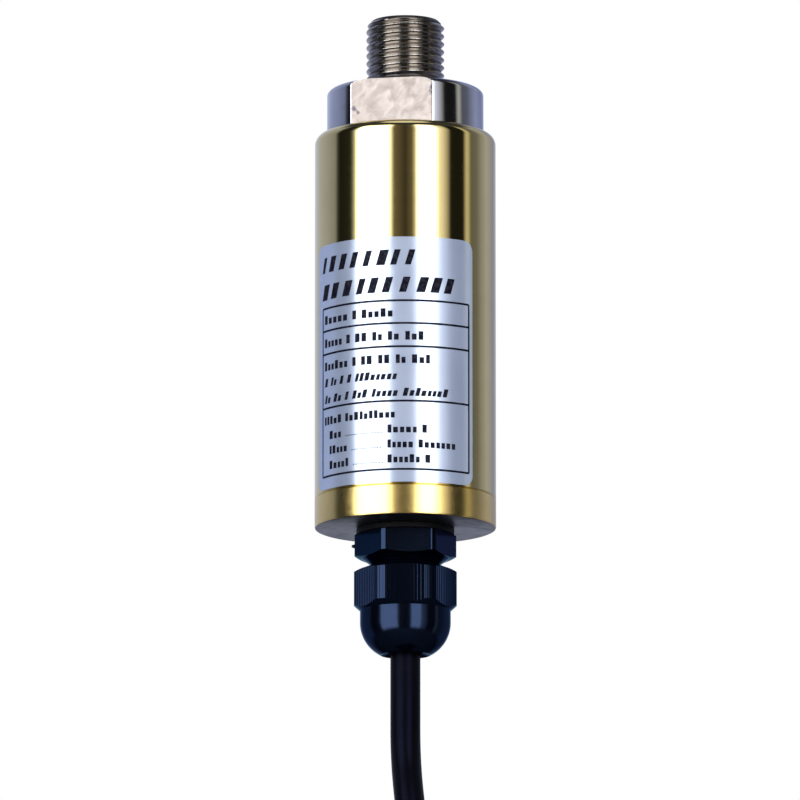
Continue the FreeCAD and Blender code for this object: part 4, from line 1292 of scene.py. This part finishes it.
def makeGlandBody(plan, finish):
    # a closed profile turned round the axis, trimmed to a hexagon in its middle stretch
    low, high = span("gland_body")
    hexTop = span("gland_gasket")[0][2]
    hexBottom = hexTop - plan["hexHeight"]
    flat = plan["hexFlat"]
    ends = [plan["hexFacing"] + 60 * side + off for side in range(6) for off in (-flat, flat)]
    angles = ringAngles(plan["bodyColumns"], ends)
    corner, half, edge = plan["hexCorner"], plan["hexWidth"] / 2, plan["hexTopEdge"]
    thread, chamfer, throat = plan["threadRadius"], plan["threadChamfer"], plan["throatRadius"]
    stem, (coneWide, coneTall) = plan["stemRadius"], plan["stemCone"]
    upper = [(throat, high[2]), (thread - chamfer, high[2]), (thread, high[2] - chamfer), (thread, hexTop)]
    middle = [
        (thread, hexTop),
        (half - edge, hexTop),
        (corner, hexTop - edge),
        (corner, hexBottom + plan["hexEdge"]),
        (half, hexBottom),
    ]
    lower = [
        (stem + coneWide, hexBottom),
        (stem, hexBottom - coneTall),
        (stem, low[2]),
        (plan["cupRadius"], low[2]),
        (plan["cupRadius"], plan["throatBottom"]),
        (throat, plan["throatBottom"]),
    ]
    outline = hexagonRadius(angles, plan["hexWidth"], plan["hexFacing"], corner)
    stretches = [ringRows(upper, angles), ringRows(middle, angles, outline), ringRows(lower, angles)]
    radii, heights = (np.concatenate(rows) for rows in zip(*stretches))
    grids = [
        (turnPoints(radii, heights, angles), True, True),
        (nubPoints(plan, (hexTop + hexBottom) / 2), False, True),
    ]
    return makePiece("glandBody", grids, [finish], ["gland_body"], sharp=28.0)


def makeNut(plan, finish):
    # the turned shape cut by a hexagon, whose sides carry narrow grooves where cos(ribs * angle) is near 1:
    # the groove is depth * (cos - (1 - width)) / width, and none where that is below 0
    low, high = span("gland_nut")
    top, bottom, bore, mouth = high[2], low[2], plan["boreRadius"], plan["mouthRadius"]
    angles = ringAngles(plan["ribs"] * plan["ribColumns"])
    groove = (np.cos(plan["ribs"] * angles) - (1 - plan["ribWidth"])) / plan["ribWidth"]
    ribs = plan["ribDepth"] * np.clip(groove, 0, 1)
    outline = hexagonRadius(angles, plan["nutWidth"], plan["nutFacing"], plan["nutRadius"]) - ribs
    grip = top - plan["nutTopSlope"]
    gripEnd = grip - plan["gripHeight"]
    dome = gripEnd - plan["gripSlope"]
    straight = dome - plan["domeStraight"]
    profile = [
        (bore, top),
        (plan["nutTopRadius"] - plan["nutTopEdge"], top),
        (plan["nutTopRadius"], top - plan["nutTopEdge"]),
        (plan["nutRadius"], grip),
        (plan["nutRadius"], gripEnd),
        (plan["domeRadius"], dome),
        (plan["domeRadius"], dome - 0.05),
        *arcThrough((plan["domeRadius"], straight), (plan["faceRadius"], bottom), plan["domeRound"], 20),
        (mouth, bottom + plan["mouthSink"]),
        (mouth, bottom + plan["mouthDepth"]),
        (bore, plan["coneTop"]),
    ]
    grid = turnedGrid(profile, angles, outline)
    return makePiece("glandNut", [grid], [finish], ["gland_nut"], body="nut", sharp=20.0)


sealRubber = mouldedPlastic("sealRubber", gland["rubber"])
glandNylon = mouldedPlastic("glandNylon", gland["nylon"])
makeGasket(gland, sealRubber)
makeGlandBody(gland, glandNylon)
makeNut(gland, glandNylon)
print("gland made")


# finishes for what lies inside the housing and the gland
def boardLaminate():
    # glass laminate under solder resist: a fine weave, with copper tracks that show through
    material, tree, inputs = newMaterial("boardLaminate")
    tracks = addNoise(tree, 1.0, 0.0, (700.0, 700.0, 260.0))
    weave = addNoise(tree, 5200.0, 1.0)
    lines = addMath(tree, "ABSOLUTE", addMath(tree, "SUBTRACT", tracks, 0.5))
    copper = addRange(tree, lines, 0.02, 0.05, 1.0, 0.0)
    green = mixColour(tree, weave, (0.010, 0.085, 0.040), (0.016, 0.120, 0.058))
    colour = mixColour(tree, copper, green, (0.035, 0.200, 0.090))
    relief = addMath(tree, "ADD", copper, weave)
    dress(tree, inputs, colour, addRange(tree, weave, 0.3, 0.7, 0.22, 0.34), relief, 0.02)
    return material


innerMarks = {
    drawnMetal: {"markSize": 260.0, "marks": 0.7, "depth": 0.01},
    mouldedPlastic: {"marks": 0.6, "depth": 0.008},
}
innerLooks = [  # how it is made, name, colour, rubbed colour, roughness, grain, and the nodes that have it
    (drawnMetal, "cellSteel", (0.58, 0.58, 0.57), (0.44, 0.44, 0.45), (0.16, 0.28), 500.0,
     ["sensor_cell", "sensor_diaphragm", "sensor_retaining_ring"]),
    (drawnMetal, "goldPins", (0.85, 0.62, 0.26), (0.70, 0.48, 0.18), (0.12, 0.2), 500.0,
     ["sensor_pins"]),
    (drawnMetal, "bracketSteel", (0.62, 0.60, 0.54), (0.50, 0.47, 0.40), (0.25, 0.4), 500.0,
     ["board_bracket_left", "board_bracket_right"]),
    (drawnMetal, "screwSteel", (0.60, 0.60, 0.60), (0.46, 0.46, 0.47), (0.2, 0.35), 500.0,
     ["bracket_screws", "board_screws"]),
    (drawnMetal, "canAluminium", (0.72, 0.73, 0.74), (0.60, 0.61, 0.63), (0.2, 0.32), 500.0,
     ["electrolytic_capacitor"]),
    (drawnMetal, "solderTin", (0.66, 0.66, 0.65), (0.48, 0.48, 0.49), (0.14, 0.3), 900.0,
     ["solder_joints"]),
    (mouldedPlastic, "trimmerBlue", (0.020, 0.085, 0.36), (0.030, 0.11, 0.42), (0.3, 0.45), 1800.0,
     ["zero_trimmer_body", "span_trimmer_body"]),
    (mouldedPlastic, "rotorWhite", (0.72, 0.71, 0.66), (0.62, 0.60, 0.55), (0.35, 0.5), 1800.0,
     ["zero_trimmer_rotor", "span_trimmer_rotor"]),
    (mouldedPlastic, "chipBlack", (0.014, 0.014, 0.016), (0.028, 0.028, 0.030), (0.4, 0.55), 3600.0,
     ["amplifier_chip", "output_transistor", "chip_resistors"]),
    (mouldedPlastic, "diodeGlass", (0.35, 0.12, 0.05), (0.45, 0.18, 0.08), (0.05, 0.12), 1800.0,
     ["protection_diode"]),
    (mouldedPlastic, "ceramicTan", (0.48, 0.34, 0.19), (0.40, 0.27, 0.14), (0.35, 0.5), 2600.0,
     ["ceramic_capacitors"]),
    (mouldedPlastic, "insertNylon", (0.020, 0.020, 0.022), (0.035, 0.035, 0.038), (0.35, 0.5), 1800.0,
     ["clamp_insert"]),
]
for title, colour in cores["colours"].items():
    rubbed = tuple(0.75 * level for level in colour)
    innerLooks.append(
        (mouldedPlastic, f"innerCore_{title}", colour, rubbed, (0.3, 0.42), 1800.0, [f"core_{title}"])
    )
innerFinishes = [
    (sealRubber, ["port_o_ring", "sensor_o_ring", "cap_o_ring", "gland_seal"]),
    (boardLaminate(), ["circuit_board"]),
]
for make, name, colour, rubbed, rough, grain, names in innerLooks:
    look = {"colour": colour, "rubbed": rubbed, "rough": rough, "grain": grain, **innerMarks[make]}
    innerFinishes.append((make(name, look), names))
for finish, names in innerFinishes:
    for name in names:
        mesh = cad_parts[name].data
        mesh.materials.clear()
        mesh.materials.append(finish)
print("inner pieces finished")


# a pale floor under the hanging part
floorPlan = {
    "level": -640.0,
    "radius": 900.0,
    "corners": 96,
    "glow": 0.93,
}


def makeFloor(plan):
    # a round sheet; the camera sees it nearly white, and other light falls on a plain pale grey
    mesh = bpy.data.meshes.new("floor")
    around = np.arange(plan["corners"]) * 2 * math.pi / plan["corners"]
    x, y = plan["radius"] * np.cos(around), plan["radius"] * np.sin(around)
    ring = np.stack([x, y, 0 * around + plan["level"]], -1) * mm
    mesh.from_pydata(ring.tolist(), [], [tuple(range(len(around)))])
    material, tree, inputs = newMaterial("floorPaper", Roughness=0.9, Emission_Color=(1.0, 1.0, 1.0))
    tone = addNoise(tree, 6.0, 2.0)
    tree.links.new(mixColour(tree, tone, (0.24, 0.23, 0.21), (0.26, 0.25, 0.23)), inputs["Base Color"])
    path = tree.nodes.new("ShaderNodeLightPath").outputs
    seen = addMath(tree, "MAXIMUM", path["Is Camera Ray"], path["Is Transmission Ray"])
    tree.links.new(addMath(tree, "MULTIPLY", seen, plan["glow"]), inputs["Emission Strength"])
    mesh.materials.append(material)
    floor = bpy.data.objects.new("floor", mesh)
    scene.collection.objects.link(floor)


makeFloor(floorPlan)
